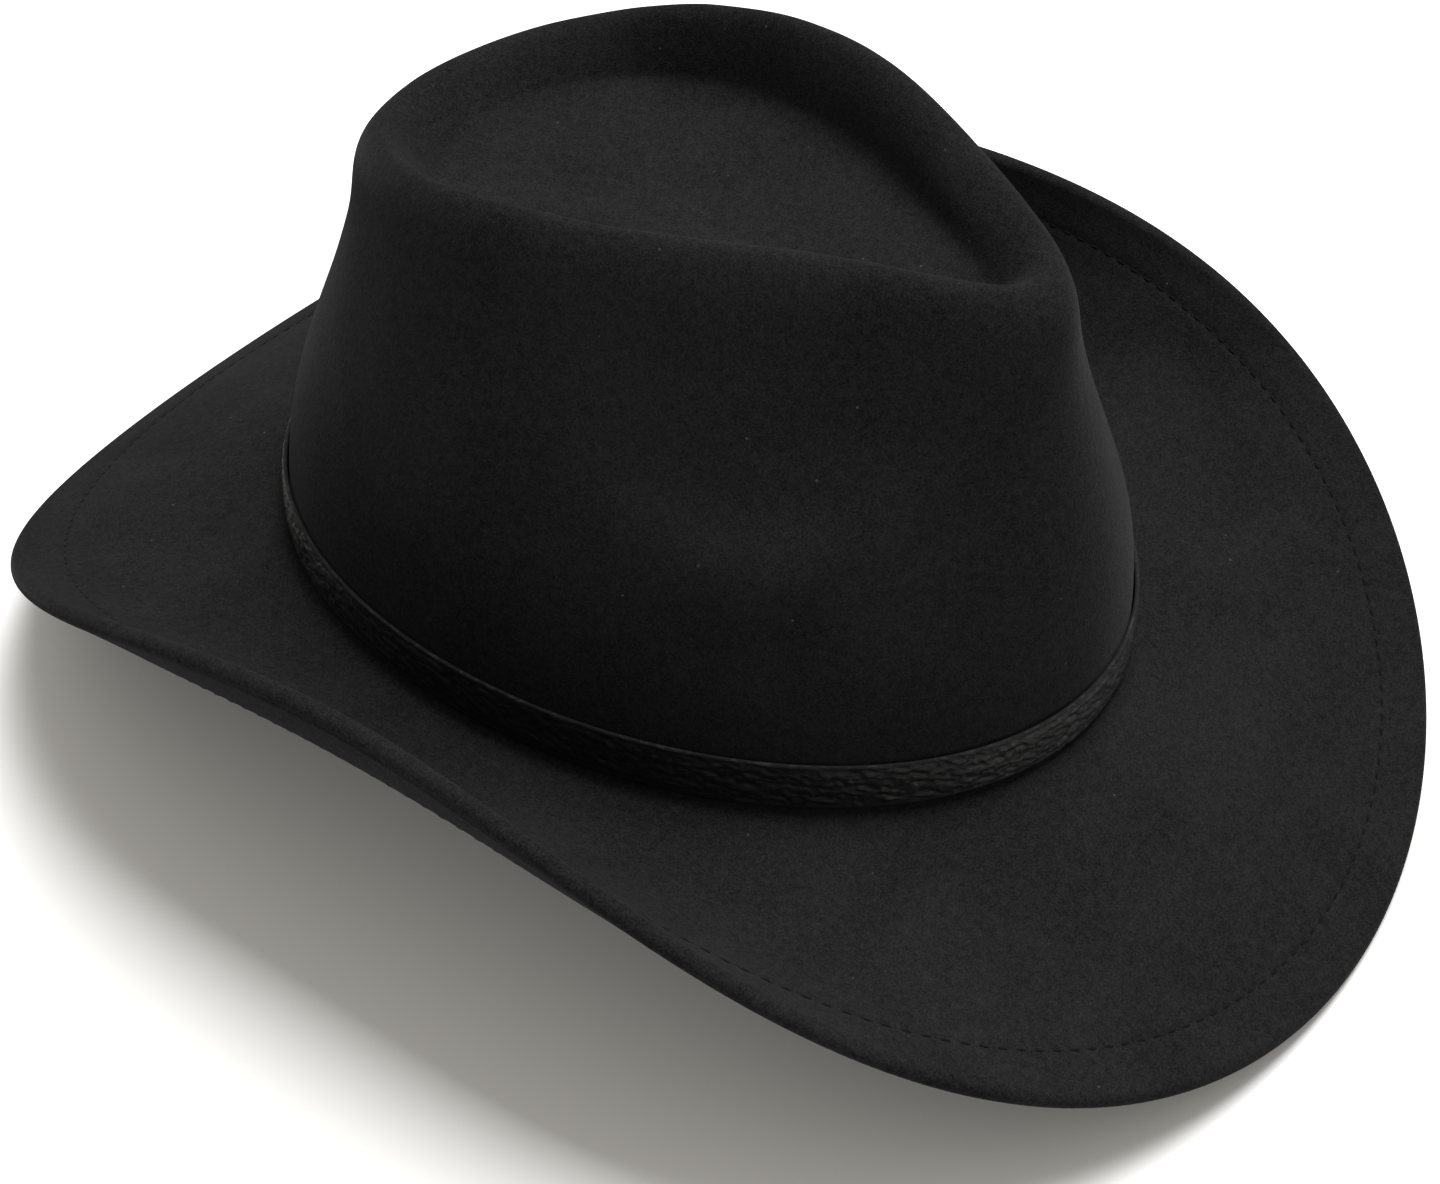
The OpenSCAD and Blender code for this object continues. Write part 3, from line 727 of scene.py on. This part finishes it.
def build_hem_stitches():
    """Thread on both faces of the hem, the lower stitches between the upper ones."""
    def stitch_line(t, depth):
        s = blend3(BRIM_WIDTH, t) - STITCH_IN
        row = brim_rows(t, [s * k / 30 for k in range(1, 31)])[-1]
        nx, ny = outward(t)
        up = np.stack([-np.sin(row[2]) * nx, -np.sin(row[2]) * ny, np.cos(row[2])], -1)
        return out_at(t, *below(row, depth)), up

    t = even_angles(stitch_line(circle(1440), 0)[0], HEM_PITCH)
    top, up = stitch_line(t, 0.34)
    low, _ = stitch_line(t + 0.5 * HEM_PITCH / STITCH_RADIUS, HEM_THICK - 0.55)
    return stitch_row("hem_stitches", np.concatenate([top, low]),
                      np.concatenate([tangents(top), tangents(low)]),
                      np.concatenate([up, -up]), 0.7 * HEM_PITCH, 0.62)


finish_piece(build_hem_stitches(), THREAD_LOOK, "hat", "thread", "hem_stitching")

# ---- sweatband, reed, bow and label
SWEAT_OUT = -FELT - SWEAT_GAP
SWEAT_IN = SWEAT_OUT - SWEATBAND[1]
BACK = math.pi


def inside_ring(t, heights, depths):
    """Rings of points inside the crown: heights over the brim line and distances from the wall."""
    heights = np.asarray(heights, float) + 0 * t[:, None]
    depths = np.asarray(depths, float) + 0 * t[:, None]
    return wall_at(t, base_z(t)[:, None] + heights, depths)


def build_sweatband():
    """The leather strip, with a seam at the back and a thin top edge."""
    seam = np.array([-1.6, -0.9, -0.5, -0.25, 0, 0.25, 0.5, 0.9, 1.6]) / BACK_RADIUS + BACK
    t = np.unique(np.concatenate([circle(300), seam]))
    up = np.linspace(0, 1, 19)
    z_in = 1.0 + SWEATBAND[0] * up
    z_out = 1.0 + SWEATBAND[0] * np.linspace(1, 0, 8)
    ripple = (0.10 * waves(t[:, None] * 11 + 3, up[None] * 2.2 + 4, 21)
              + 0.07 * waves(t[:, None] * 27, up[None] * 4 + 9, 22))
    groove = 0.3 * np.exp(-(((t - BACK) * BACK_RADIUS) / 0.3) ** 2)[:, None]
    pinch = 0.22 * np.exp(-((z_in - 3.0) / 0.8) ** 2)[None]
    thin = 0.45 * smooth_step(up, 0.9, 1.0)[None]
    n_in = SWEAT_IN - 0.02 + np.clip(ripple, -0.1, 0.2) + groove + pinch + thin
    edge_z, edge_n = [37.1, 37.1], [SWEAT_IN + 0.75, SWEAT_OUT - 0.2]
    foot_z, foot_n = [0.9, 0.75, 0.9], [SWEAT_OUT - 0.2, SWEAT_OUT - 0.6, SWEAT_IN + 0.2]
    z = np.concatenate([z_in, edge_z, z_out, foot_z])
    flat = 0 * t[:, None]
    n = np.concatenate([n_in, edge_n + flat, SWEAT_OUT + flat + 0 * z_out, foot_n + flat], 1)
    return face_outward(swept_loop("sweatband_leather", inside_ring(t, z, n))[0])


def build_reed():
    t, a = circle(320), circle(14)
    wrap = REED_D / 2 * (1 + 0.03 * np.cos(t * 140))[:, None]
    rings = inside_ring(t, 0 * a, SWEAT_IN + 0.4 + wrap * np.cos(a))
    rings[..., 2] += REED_RISE - REED_D / 2 + wrap * np.sin(a)
    return face_outward(swept_loop("covered_reed", rings)[0])


def build_sweat_stitches():
    """The seam along the sweatband's foot, and the zigzag that joins its ends at the back."""
    t = even_angles(inside_ring(circle(720), [3.0], [SWEAT_IN])[:, 0], 3.6)
    nx, ny = outward(t)
    row = inside_ring(t, [3.0], [SWEAT_IN + 0.1])[:, 0]
    inward = np.stack([-nx, -ny, 0 * t], -1)
    rise = np.arange(5.0, 35.0, 1.9)
    zigzag = inside_ring(np.full(len(rise), BACK), rise[:, None], [[SWEAT_IN - 0.02]])[:, 0]
    lean = np.where(np.arange(len(rise)) % 2, 1.0, -1.0)
    slant = np.stack([lean * 1.25, 0 * lean, 0 * lean + 0.95], -1)
    up = np.concatenate([inward, np.tile([[0.0, -1.0, 0.0]], (len(rise), 1))])
    return stitch_row("sweatband_stitches", np.concatenate([row, zigzag]),
                      np.concatenate([tangents(row), slant]), up, 2.5, 0.42)


def build_bow():
    """A small flat ribbon bow on the sweatband's back seam: two loops and a knot."""
    seat = wall_at(np.array([BACK]), [[14.0]], [[SWEAT_IN - 1.8]])[0, 0]
    f = np.linspace(0, 1, 41)
    reach = 8.9 * np.sin(f * np.pi) ** 0.72
    gap = np.where(f < 0.5, -0.48, 0.48) * np.abs(np.cos(f * np.pi)) ** 0.25 * smooth_step(reach, 0, 4)
    half = 1.15 + 2.45 * smooth_step(reach, 0.8, 5.5)
    across = np.array([-1, -0.66, -0.33, 0, 0.33, 0.66, 1])
    z = half[:, None] * across
    made = []
    for side, name in ((1, "bow_loop_left"), (-1, "bow_loop_right")):
        fold = 0.12 * np.cos(across[None] * 5.2) * (1 - smooth_step(reach, 1, 7))[:, None]
        path = np.stack([side * (0.4 + reach)[:, None] + 0 * across, gap[:, None] + fold, z], -1)
        along = np.gradient(path, axis=0)
        normal = np.cross(along, np.gradient(path, axis=1))
        normal = normal / np.linalg.norm(normal, axis=-1, keepdims=True)
        rings = np.concatenate([path + 0.14 * normal, (path - 0.14 * normal)[:, ::-1]], 1) + seat
        piece, faces = swept_loop(name, rings, closed=False)
        run = np.cumsum(np.concatenate([[0], np.linalg.norm(np.diff(path[:, 3], axis=0), axis=1)]))
        flat = np.concatenate([z, z[:, ::-1]], 1)
        lay_out(piece, faces, run[:, None] + 0 * flat, flat)
        made.append(face_outward(piece))
    a, b = circle(28), np.linspace(-1, 1, 9)
    wide = 1.75 * np.sign(np.cos(a)) * np.abs(np.cos(a)) ** 0.6
    deep = 1.15 * np.sign(np.sin(a)) * np.abs(np.sin(a)) ** 0.8
    swell = (1 - 0.45 * np.abs(b) ** 4) * (1 + 0.05 * np.cos(b * 9))
    rings = np.stack([wide[None] * swell[:, None], 0.62 + deep[None] * swell[:, None],
                      2.15 * b[:, None] + 0 * a], -1) + seat
    piece, faces = swept_loop("bow_knot", rings, closed=False)
    lay_out(piece, faces, b[:, None] * 2.15 + 0 * a, 0 * b[:, None] + a * 1.5)
    made.append(face_outward(piece))
    return made


def build_label():
    """A small woven label with nothing on it."""
    t, z = np.radians(np.linspace(198, 216, 30)), np.linspace(12, 28, 17)
    far = np.abs(np.linspace(-1, 1, 30))[:, None] ** 8 + np.abs(np.linspace(-1, 1, 17))[None] ** 8
    puff = 0.1 * np.clip(1 - far, 0, 1) - 0.06 * waves(t[:, None] * 30, z[None] / 5, 31)
    front = SWEAT_IN - 0.5 - puff
    z_ring = np.concatenate([z, z[::-1]])
    n_ring = np.concatenate([front, SWEAT_IN - 0.28 + 0 * front], 1)
    piece, faces = swept_loop("blank_label", inside_ring(t, z_ring, n_ring), closed=False)
    lay_out(piece, faces, (t * LABEL_RADIUS)[:, None] + 0 * n_ring, z_ring[None] + 0 * n_ring)
    return face_outward(piece)


def build_label_stitches():
    sides = np.radians(np.linspace(199.0, 215.0, 12))
    ends = np.linspace(13.6, 26.4, 7)
    t = np.concatenate([sides, sides, 0 * ends + math.radians(198.8), 0 * ends + math.radians(215.2)])
    z = np.concatenate([0 * sides + 12.9, 0 * sides + 27.1, ends, ends])
    nx, ny = outward(t)
    centres = inside_ring(t, z[:, None], np.full((len(t), 1), SWEAT_IN - 0.52))[:, 0]
    level = np.stack([-ny, nx, 0 * t], -1)
    level[2 * len(sides):] = (0, 0, 1)
    return stitch_row("label_stitches", centres, level, np.stack([-nx, -ny, 0 * t], -1), 1.35, 0.28)


finish_piece(build_sweatband(), SWEAT_LOOK, "hat", "sweatband_leather", "sweatband")
finish_piece(build_reed(), REED_LOOK, "hat", "reed_cord", "sweatband_reed")
finish_piece(build_sweat_stitches(), INNER_THREAD_LOOK, "hat", "thread", "sweatband_stitching")
for number, loop in enumerate(build_bow()):
    finish_piece(loop, RIBBON_LOOK, "hat", "ribbon", *(["back_bow"] if number == 0 else []))
finish_piece(build_label(), LABEL_LOOK, "hat", "label_cloth", "size_label")
finish_piece(build_label_stitches(), LABEL_THREAD_LOOK, "hat", "thread")
paint(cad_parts["brim_wire"], STEEL_LOOK)
paint(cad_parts["wire_sleeve"], SLEEVE_LOOK)

# ---- leather band
# u runs along the strap from the buckle towards the back, n out from the crown, v up across it.
RUNNING_GAP = 0.05
FOLD_IN = FRAME_N - BAR_R - RUNNING_GAP - STRAP_THICK
FOLD_OUT = FRAME_N + BAR_R + RUNNING_GAP
TIP_UP = FOLD_OUT + STRAP_THICK + 0.15
BAND_Z = SIDE_RISE + BAND_LOW + STRAP_WIDTH / 2
SIDE_X = wall_at(np.array([math.pi / 2]), [[BAND_Z]], [[0.0]])[0, 0, 0]


def u_to_t(u):
    return math.pi / 2 + np.arcsin(np.asarray(u, float) / BASE[1])


def tip_n(u):
    """How far the strap's loose tip stands out: over the bar and the lap, through the keeper."""
    return np.interp(u, (-8.5, 3, BAR_U + 2, BAR_U + 9, 26, 31, 44),
                     (BAND_GAP, TIP_UP, TIP_UP, 2.6, 2.6, 2.25, 1.6))


def lap_n(u):
    """How far the strap's other end stands out, on its way to the bar."""
    return np.interp(u, (BAR_U, BAR_U + 1.5, BAR_U + 7.5, 26, LAP_END),
                     (FOLD_OUT, FOLD_OUT - 0.2, 1.5, 1.5, BAND_GAP))


def beside(u, n, v):
    """A point beside the buckle."""
    return np.stack(np.broadcast_arrays(SIDE_X + n, u, BAND_Z + v), -1).astype(float)


def strap_place(t, n, v, u=None, stand=None, square=None):
    """Points along the strap, which leans with the wall but stands upright at the buckle."""
    middle = (base_z(t) + BAND_LOW + STRAP_WIDTH / 2)[:, None]
    spot = wall_at(t, middle + v, n)
    if stand is None:
        return spot
    level = wall_at(t, middle + 0 * v, n)
    level[..., 2] = middle + v
    stand, square = stand[:, None, None], square[:, None, None]
    return (1 - square) * ((1 - stand) * spot + stand * level) + square * beside(u, n, v)


def creased(along, v, half):
    """Height of the leather's wrinkles, and of the line pressed along both edges."""
    bend = 0.5 * waves(along * 0.5, v * 0.5 + 40, 14)
    p, q = along * 0.20 + v * 0.24 + bend, v * 0.74 - along * 0.06 + 0.6 * bend
    ridges = 1 - np.abs(waves(p, q + 20, 11)) * 3.3
    small = 1 - np.abs(waves(p * 1.9 + 13, q * 1.7 + 31, 12)) * 3.4
    pebbles = waves(along * 0.9, v * 1.3 + 17, 13)
    inner = 1 - 0.7 * smooth_step(np.abs(v), half - 1.4, half - 0.5)
    wrinkles = 0.27 * np.clip(ridges, -0.7, 1) + 0.10 * np.clip(small, -0.7, 1) + 0.04 * pebbles
    return inner * wrinkles, -0.2 * np.exp(-((np.abs(v) - (half - 1.1)) / 0.3) ** 2)


def cut_away(piece, cutters):
    """Cuts the cutters out of a piece and drops them."""
    for cutter in cutters:
        cut = piece.modifiers.new("cut", "BOOLEAN")
        cut.operation, cut.solver, cut.object = "DIFFERENCE", "EXACT", cutter
    bpy.context.view_layer.update()
    graph = bpy.context.evaluated_depsgraph_get()
    done = bpy.data.meshes.new_from_object(piece.evaluated_get(graph), preserve_all_data_layers=True,
                                           depsgraph=graph)
    piece.modifiers.clear()
    piece.data = done
    for cutter in cutters:
        bpy.data.objects.remove(cutter)
    return piece


def slab(name, outline, near, far):
    """A solid from a closed outline of (u, v), from n = near to n = far beside the buckle."""
    outline = np.asarray(outline, float)
    rings = [beside(outline[:, 0], n, outline[:, 1]) for n in (near, far)]
    return face_outward(swept_loop(name, rings, closed=False)[0])


def build_strap():
    """The strap: from its loose tip, once round the crown, to the fold round the buckle's bar."""
    half_width = STRAP_WIDTH / 2
    # across the outer face, over one edge, back across the inner face and over the other edge
    x_out, x_in = np.linspace(-1, 1, 23), np.linspace(1, -1, 7)
    share = np.concatenate([x_out, [1, 1, 1, 1], x_in, [-1, -1, -1, -1]])
    inset = np.concatenate([-0.20 * x_out, [-0.06, 0, -0.08, -0.28],
                            -0.50 * x_in, [0.28, 0.08, 0, 0.06]])
    layer = np.concatenate([0 * x_out + 1, [0.86, 0.66, 0.36, 0.08],
                            0 * x_in, [0.08, 0.36, 0.66, 0.86]])
    outer = (layer == 1).astype(float)

    # the tip, the run round the crown, the lap, the turn round the bar and the end behind it
    end = np.radians([84, 76, 67, 58, 48, 38, 28, 18, 8])
    u_tip = np.concatenate([TIP_LENGTH - half_width * (1 - np.sin(end)),
                            np.arange(TIP_LENGTH - half_width, -12, -0.7)])
    h_tip = np.concatenate([half_width * np.cos(end), np.full(len(u_tip) - len(end), half_width)])
    t_body = np.arange(u_to_t(-12.5), math.radians(-242.5), -math.radians(0.30))
    u_lap = np.arange(LAP_END - 0.5, BAR_U, -0.7)
    turn = np.radians(np.arange(0, 181, 12))
    u_back = np.arange(BAR_U + 0.7, BAR_U + 9.1, 0.8)

    tip_count, body_count, lap_count = len(u_tip), len(t_body), len(u_lap)
    t = np.concatenate([u_to_t(u_tip), t_body, u_to_t(u_lap) - 2 * math.pi])
    u = np.concatenate([u_tip, np.full(body_count, -60.0), u_lap])
    n = np.concatenate([tip_n(u_tip), np.full(body_count, BAND_GAP), lap_n(u_lap)])
    half = np.concatenate([h_tip, np.full(body_count + lap_count, half_width)])
    calm = np.concatenate([0.55 * smooth_step(u_tip, 8, 14), np.ones(body_count),
                           0.1 + 0.9 * smooth_step(u_lap, 37, 43)])
    blur = np.exp(-(np.arange(-3, 4) / 1.4) ** 2)
    smooth = np.convolve(np.pad(n, 3, mode="edge"), blur / blur.sum(), "valid")
    n = np.where(np.arange(len(n)) < tip_count, smooth, n)

    v = half[:, None] * share + inset
    stand = np.interp(u, (-12, -7, 8, 13), (0, 1, 1, 0))
    square = np.interp(u, (-9, -5, 5, 9), (0, 1, 1, 0))
    rough_n = n[:, None] + STRAP_THICK * layer
    rings = strap_place(t, rough_n, v, u[:, None], stand, square)
    steps = np.linalg.norm(np.diff(rings.mean(1), axis=0), axis=1)
    run = np.concatenate([[0], np.cumsum(steps)])
    wrinkles, line = creased(run[:, None] + 0 * v, v, half[:, None])
    height = outer * (calm[:, None] * wrinkles + np.clip(calm * 3, 0, 1)[:, None] * line)
    rings = strap_place(t, rough_n + height, v, u[:, None], stand, square)

    reach = BAR_R + RUNNING_GAP + STRAP_THICK * layer
    flat_v = half_width * share + inset
    fold = [beside(BAR_U - reach * np.sin(a), FRAME_N + reach * np.cos(a), flat_v) for a in turn]
    n_back = np.interp(u_back, (BAR_U, BAR_U + 9), (FOLD_IN, 0.45))[:, None]
    n_back = n_back + STRAP_THICK * (1 - layer)
    back = strap_place(u_to_t(u_back), n_back, flat_v + 0 * n_back, u_back[:, None],
                       np.interp(u_back, (8, 13), (1, 0)), np.interp(u_back, (5, 9), (1, 0)))
    rings = np.concatenate([rings, fold, back])
    added = np.linalg.norm(np.diff(rings[len(run) - 1:].mean(1), axis=0), axis=1)
    run = np.concatenate([run, run[-1] + np.cumsum(added)])
    v = np.concatenate([v, np.tile(flat_v, (len(rings) - len(v), 1))])

    piece, faces = swept_loop("strap", rings, closed=False)
    lay_out(piece, faces, run[:, None] + 0 * v, v)
    face_outward(piece)
    # the prong's slot, its far end in the tip only, the gap in the fold, and the holes in the tip
    slot = np.array([(-4.3, -0.7), (-3.95, -1.05), (2.85, -1.05), (3.2, -0.7),
                     (3.2, 0.7), (2.85, 1.05), (-3.95, 1.05), (-4.3, 0.7)])
    cutters = [slab("slot", slot, 1.0, 6.5), slab("slot", slot * (0.66, 1) + (3.1, 0), 4.4, 6.5),
               slab("gap", [(1.4, -1.4), (6.6, -1.4), (6.6, 1.4), (1.4, 1.4)], 0.3, 4.52)]
    ring = circle(28)[:, None]
    for hole in HOLES:
        angle = u_to_t([hole])
        nx, ny = outward(angle)
        low = strap_place(angle, np.array([[tip_n(hole) - 0.1]]), np.array([[0.0]]))[0, 0]
        out, side = np.array([nx[0], ny[0], 0]), np.array([-ny[0], nx[0], 0])
        punch = low + np.cos(ring) * side + np.sin(ring) * np.array([0, 0, 1.0])
        cutters.append(face_outward(swept_loop("hole", [punch, punch + 3 * out], closed=False)[0]))
    return cut_away(piece, cutters)


def build_keeper():
    """A flat leather loop with a pressed line near each edge."""
    a = circle(72)

    def rounded(half_v, low_n, high_n, power):
        c, s = superellipse(a, power)
        return half_v * c, (low_n + high_n) / 2 + (high_n - low_n) / 2 * s

    v_out, n_out = rounded(6.7, 0.45, 4.65, 7)
    v_in, n_in = rounded(5.75, 1.2, 3.85, 11)
    # half of its section: place along the strap and share of the thickness
    edge = [(0.9, 1.0), (1.65, 0.98), (1.85, 0.84), (2.05, 0.98), (2.4, 1.0), (2.8, 0.94), (3.0, 0.68),
            (3.0, 0.35)]
    section = np.array([(-u, f) for u, f in edge[::-1]] + [(0, 1.0)] + edge
                       + [(2.8, 0.04), (0, 0), (-2.8, 0.04)])
    f = section[:, 1:]
    points = strap_place(u_to_t(KEEPER_U + section[:, 0]), n_in + f * (n_out - n_in),
                         v_in + f * (v_out - v_in))
    piece, faces = swept_loop("keeper_loop", points.transpose(1, 0, 2))
    along = 20 * a[:, None] / (2 * np.pi) + 0 * section[None, :, 0]
    lay_out(piece, faces, along, section[None, :, 0] + 0 * along, 20)
    return face_outward(piece)


finish_piece(build_strap(), BAND_LOOK, "hat_band", "band_leather", "band_strap")
finish_piece(build_keeper(), BAND_LOOK, "keeper", "band_leather", "band_keeper")
paint(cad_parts["strap_stitching"], INNER_THREAD_LOOK)


# ---- buckle
def build_frame():
    """The open frame: two rails and an end bar that the prong rests on, with rounded edges."""
    corner = np.radians(np.arange(0, 91, 9))
    rail = np.array([FRAME_END, FRAME_END - 0.12, FRAME_END - 0.4, FRAME_END - 0.9,
                     2, -1, -4, -7, -9.3])
    shrink = np.array([0.45, 0.75, 0.93] + [1] * (len(rail) - 3))
    outer = ([(u, -RAIL_OUT) for u in rail]
             + [(-10.5 - 2 * math.sin(c), -4.95 - 2 * math.cos(c)) for c in corner])
    inner = ([(u, -RAIL_IN) for u in rail]
             + [(-9.7 - 0.8 * math.sin(c), -5.0 - 0.8 * math.cos(c)) for c in corner])
    bar = [-4.0, -2.6, -1.3]
    outer += [(FRAME_START, v) for v in bar]
    inner += [(FRAME_START + 2, v) for v in bar]
    scale = np.concatenate([shrink, np.ones(len(outer) - len(rail))])
    outer, inner = np.array(outer), np.array(inner)
    flip = np.array([1, -1])
    outer = np.concatenate([outer, [[FRAME_START, 0]], outer[::-1] * flip])
    inner = np.concatenate([inner, [[FRAME_START + 2, 0]], inner[::-1] * flip])
    scale = np.concatenate([scale, [1], scale[::-1]])
    f, g = superellipse(circle(20), 3.4)
    middle, reach = (outer + inner) / 2, (outer - inner) / 2
    flat = middle[:, None] + reach[:, None] * (f[None, :, None] * scale[:, None, None])
    n = FRAME_N + FRAME_THICK / 2 * g[None] * scale[:, None]
    rings = beside(flat[..., 0], n, flat[..., 1])
    return face_outward(swept_loop("buckle_rim", rings, closed=False)[0])


def build_bar():
    a = circle(28)
    ends = [(-6.3, 0.8), (-6.0, BAR_R), (6.0, BAR_R), (6.3, 0.8)]
    rings = [beside(BAR_U + r * np.cos(a), FRAME_N + r * np.sin(a), v) for v, r in ends]
    return face_outward(swept_loop("buckle_bar", rings, closed=False)[0])


def build_prong():
    """The prong's tapered arm, and the loop that turns on the bar."""
    root = np.array([BAR_U - 1.35, FRAME_N + 1.05])
    tip = np.array([FRAME_START + 0.1, FRAME_N + FRAME_THICK / 2 + 0.8])
    f = np.concatenate([np.linspace(0, 0.94, 22), [0.965, 0.982, 0.993, 0.999]])
    r = np.interp(f, (0, 0.08, 0.5, 0.94, 0.965, 0.982, 0.993, 0.999),
                  (0.86, 0.8, 0.72, 0.66, 0.62, 0.52, 0.36, 0.14))
    path = root + f[:, None] * (tip - root) + np.stack([0 * f, 0.10 * np.sin(f * np.pi)], -1)
    ahead = np.gradient(path, axis=0)
    ahead = ahead / np.linalg.norm(ahead, axis=1, keepdims=True)
    lift = np.stack([-ahead[:, 1], ahead[:, 0]], -1)
    a, b = circle(20), circle(36)[:, None]
    flat = path[:, None] + lift[:, None] * (r[:, None] * np.sin(a))[..., None]
    rings = beside(flat[..., 0], flat[..., 1], r[:, None] * np.cos(a))
    arm = face_outward(swept_loop("prong_arm", rings, closed=False)[0])
    bore, reach = BAR_R + RUNNING_GAP, 1.75
    c, s = superellipse(circle(16), 4)
    radius = (bore + reach) / 2 + (reach - bore) / 2 * c
    ring = beside(BAR_U + np.cos(b) * radius, FRAME_N + np.sin(b) * radius, s + 0 * b)
    return arm, face_outward(swept_loop("prong_loop", ring)[0])


finish_piece(build_frame(), BUCKLE_LOOK, "hat_band", "buckle_metal", "buckle_frame")
finish_piece(build_bar(), BUCKLE_LOOK, "hat_band", "buckle_metal")
prong_arm, prong_loop = build_prong()
finish_piece(prong_arm, BUCKLE_LOOK, "prong", "buckle_metal", "buckle_prong")
finish_piece(prong_loop, BUCKLE_LOOK, "prong", "buckle_metal")

# ---- floor and the last lines
FLOOR_Z = -PLACE[2]
FLOOR_UNDER = FLOOR_Z - FLOOR_THICK
section = [(-FLOOR_HALF, FLOOR_UNDER), (FLOOR_HALF, FLOOR_UNDER),
           (FLOOR_HALF, FLOOR_Z), (-FLOOR_HALF, FLOOR_Z)]
floor, _ = swept_loop("floor", [[(x, y, z) for x, z in section] for y in (-FLOOR_HALF, FLOOR_HALF)],
                      closed=False)
face_outward(floor)
floor.data.polygons.foreach_set("use_smooth", [False] * len(floor.data.polygons))
floor.data.materials.append(floor_material())
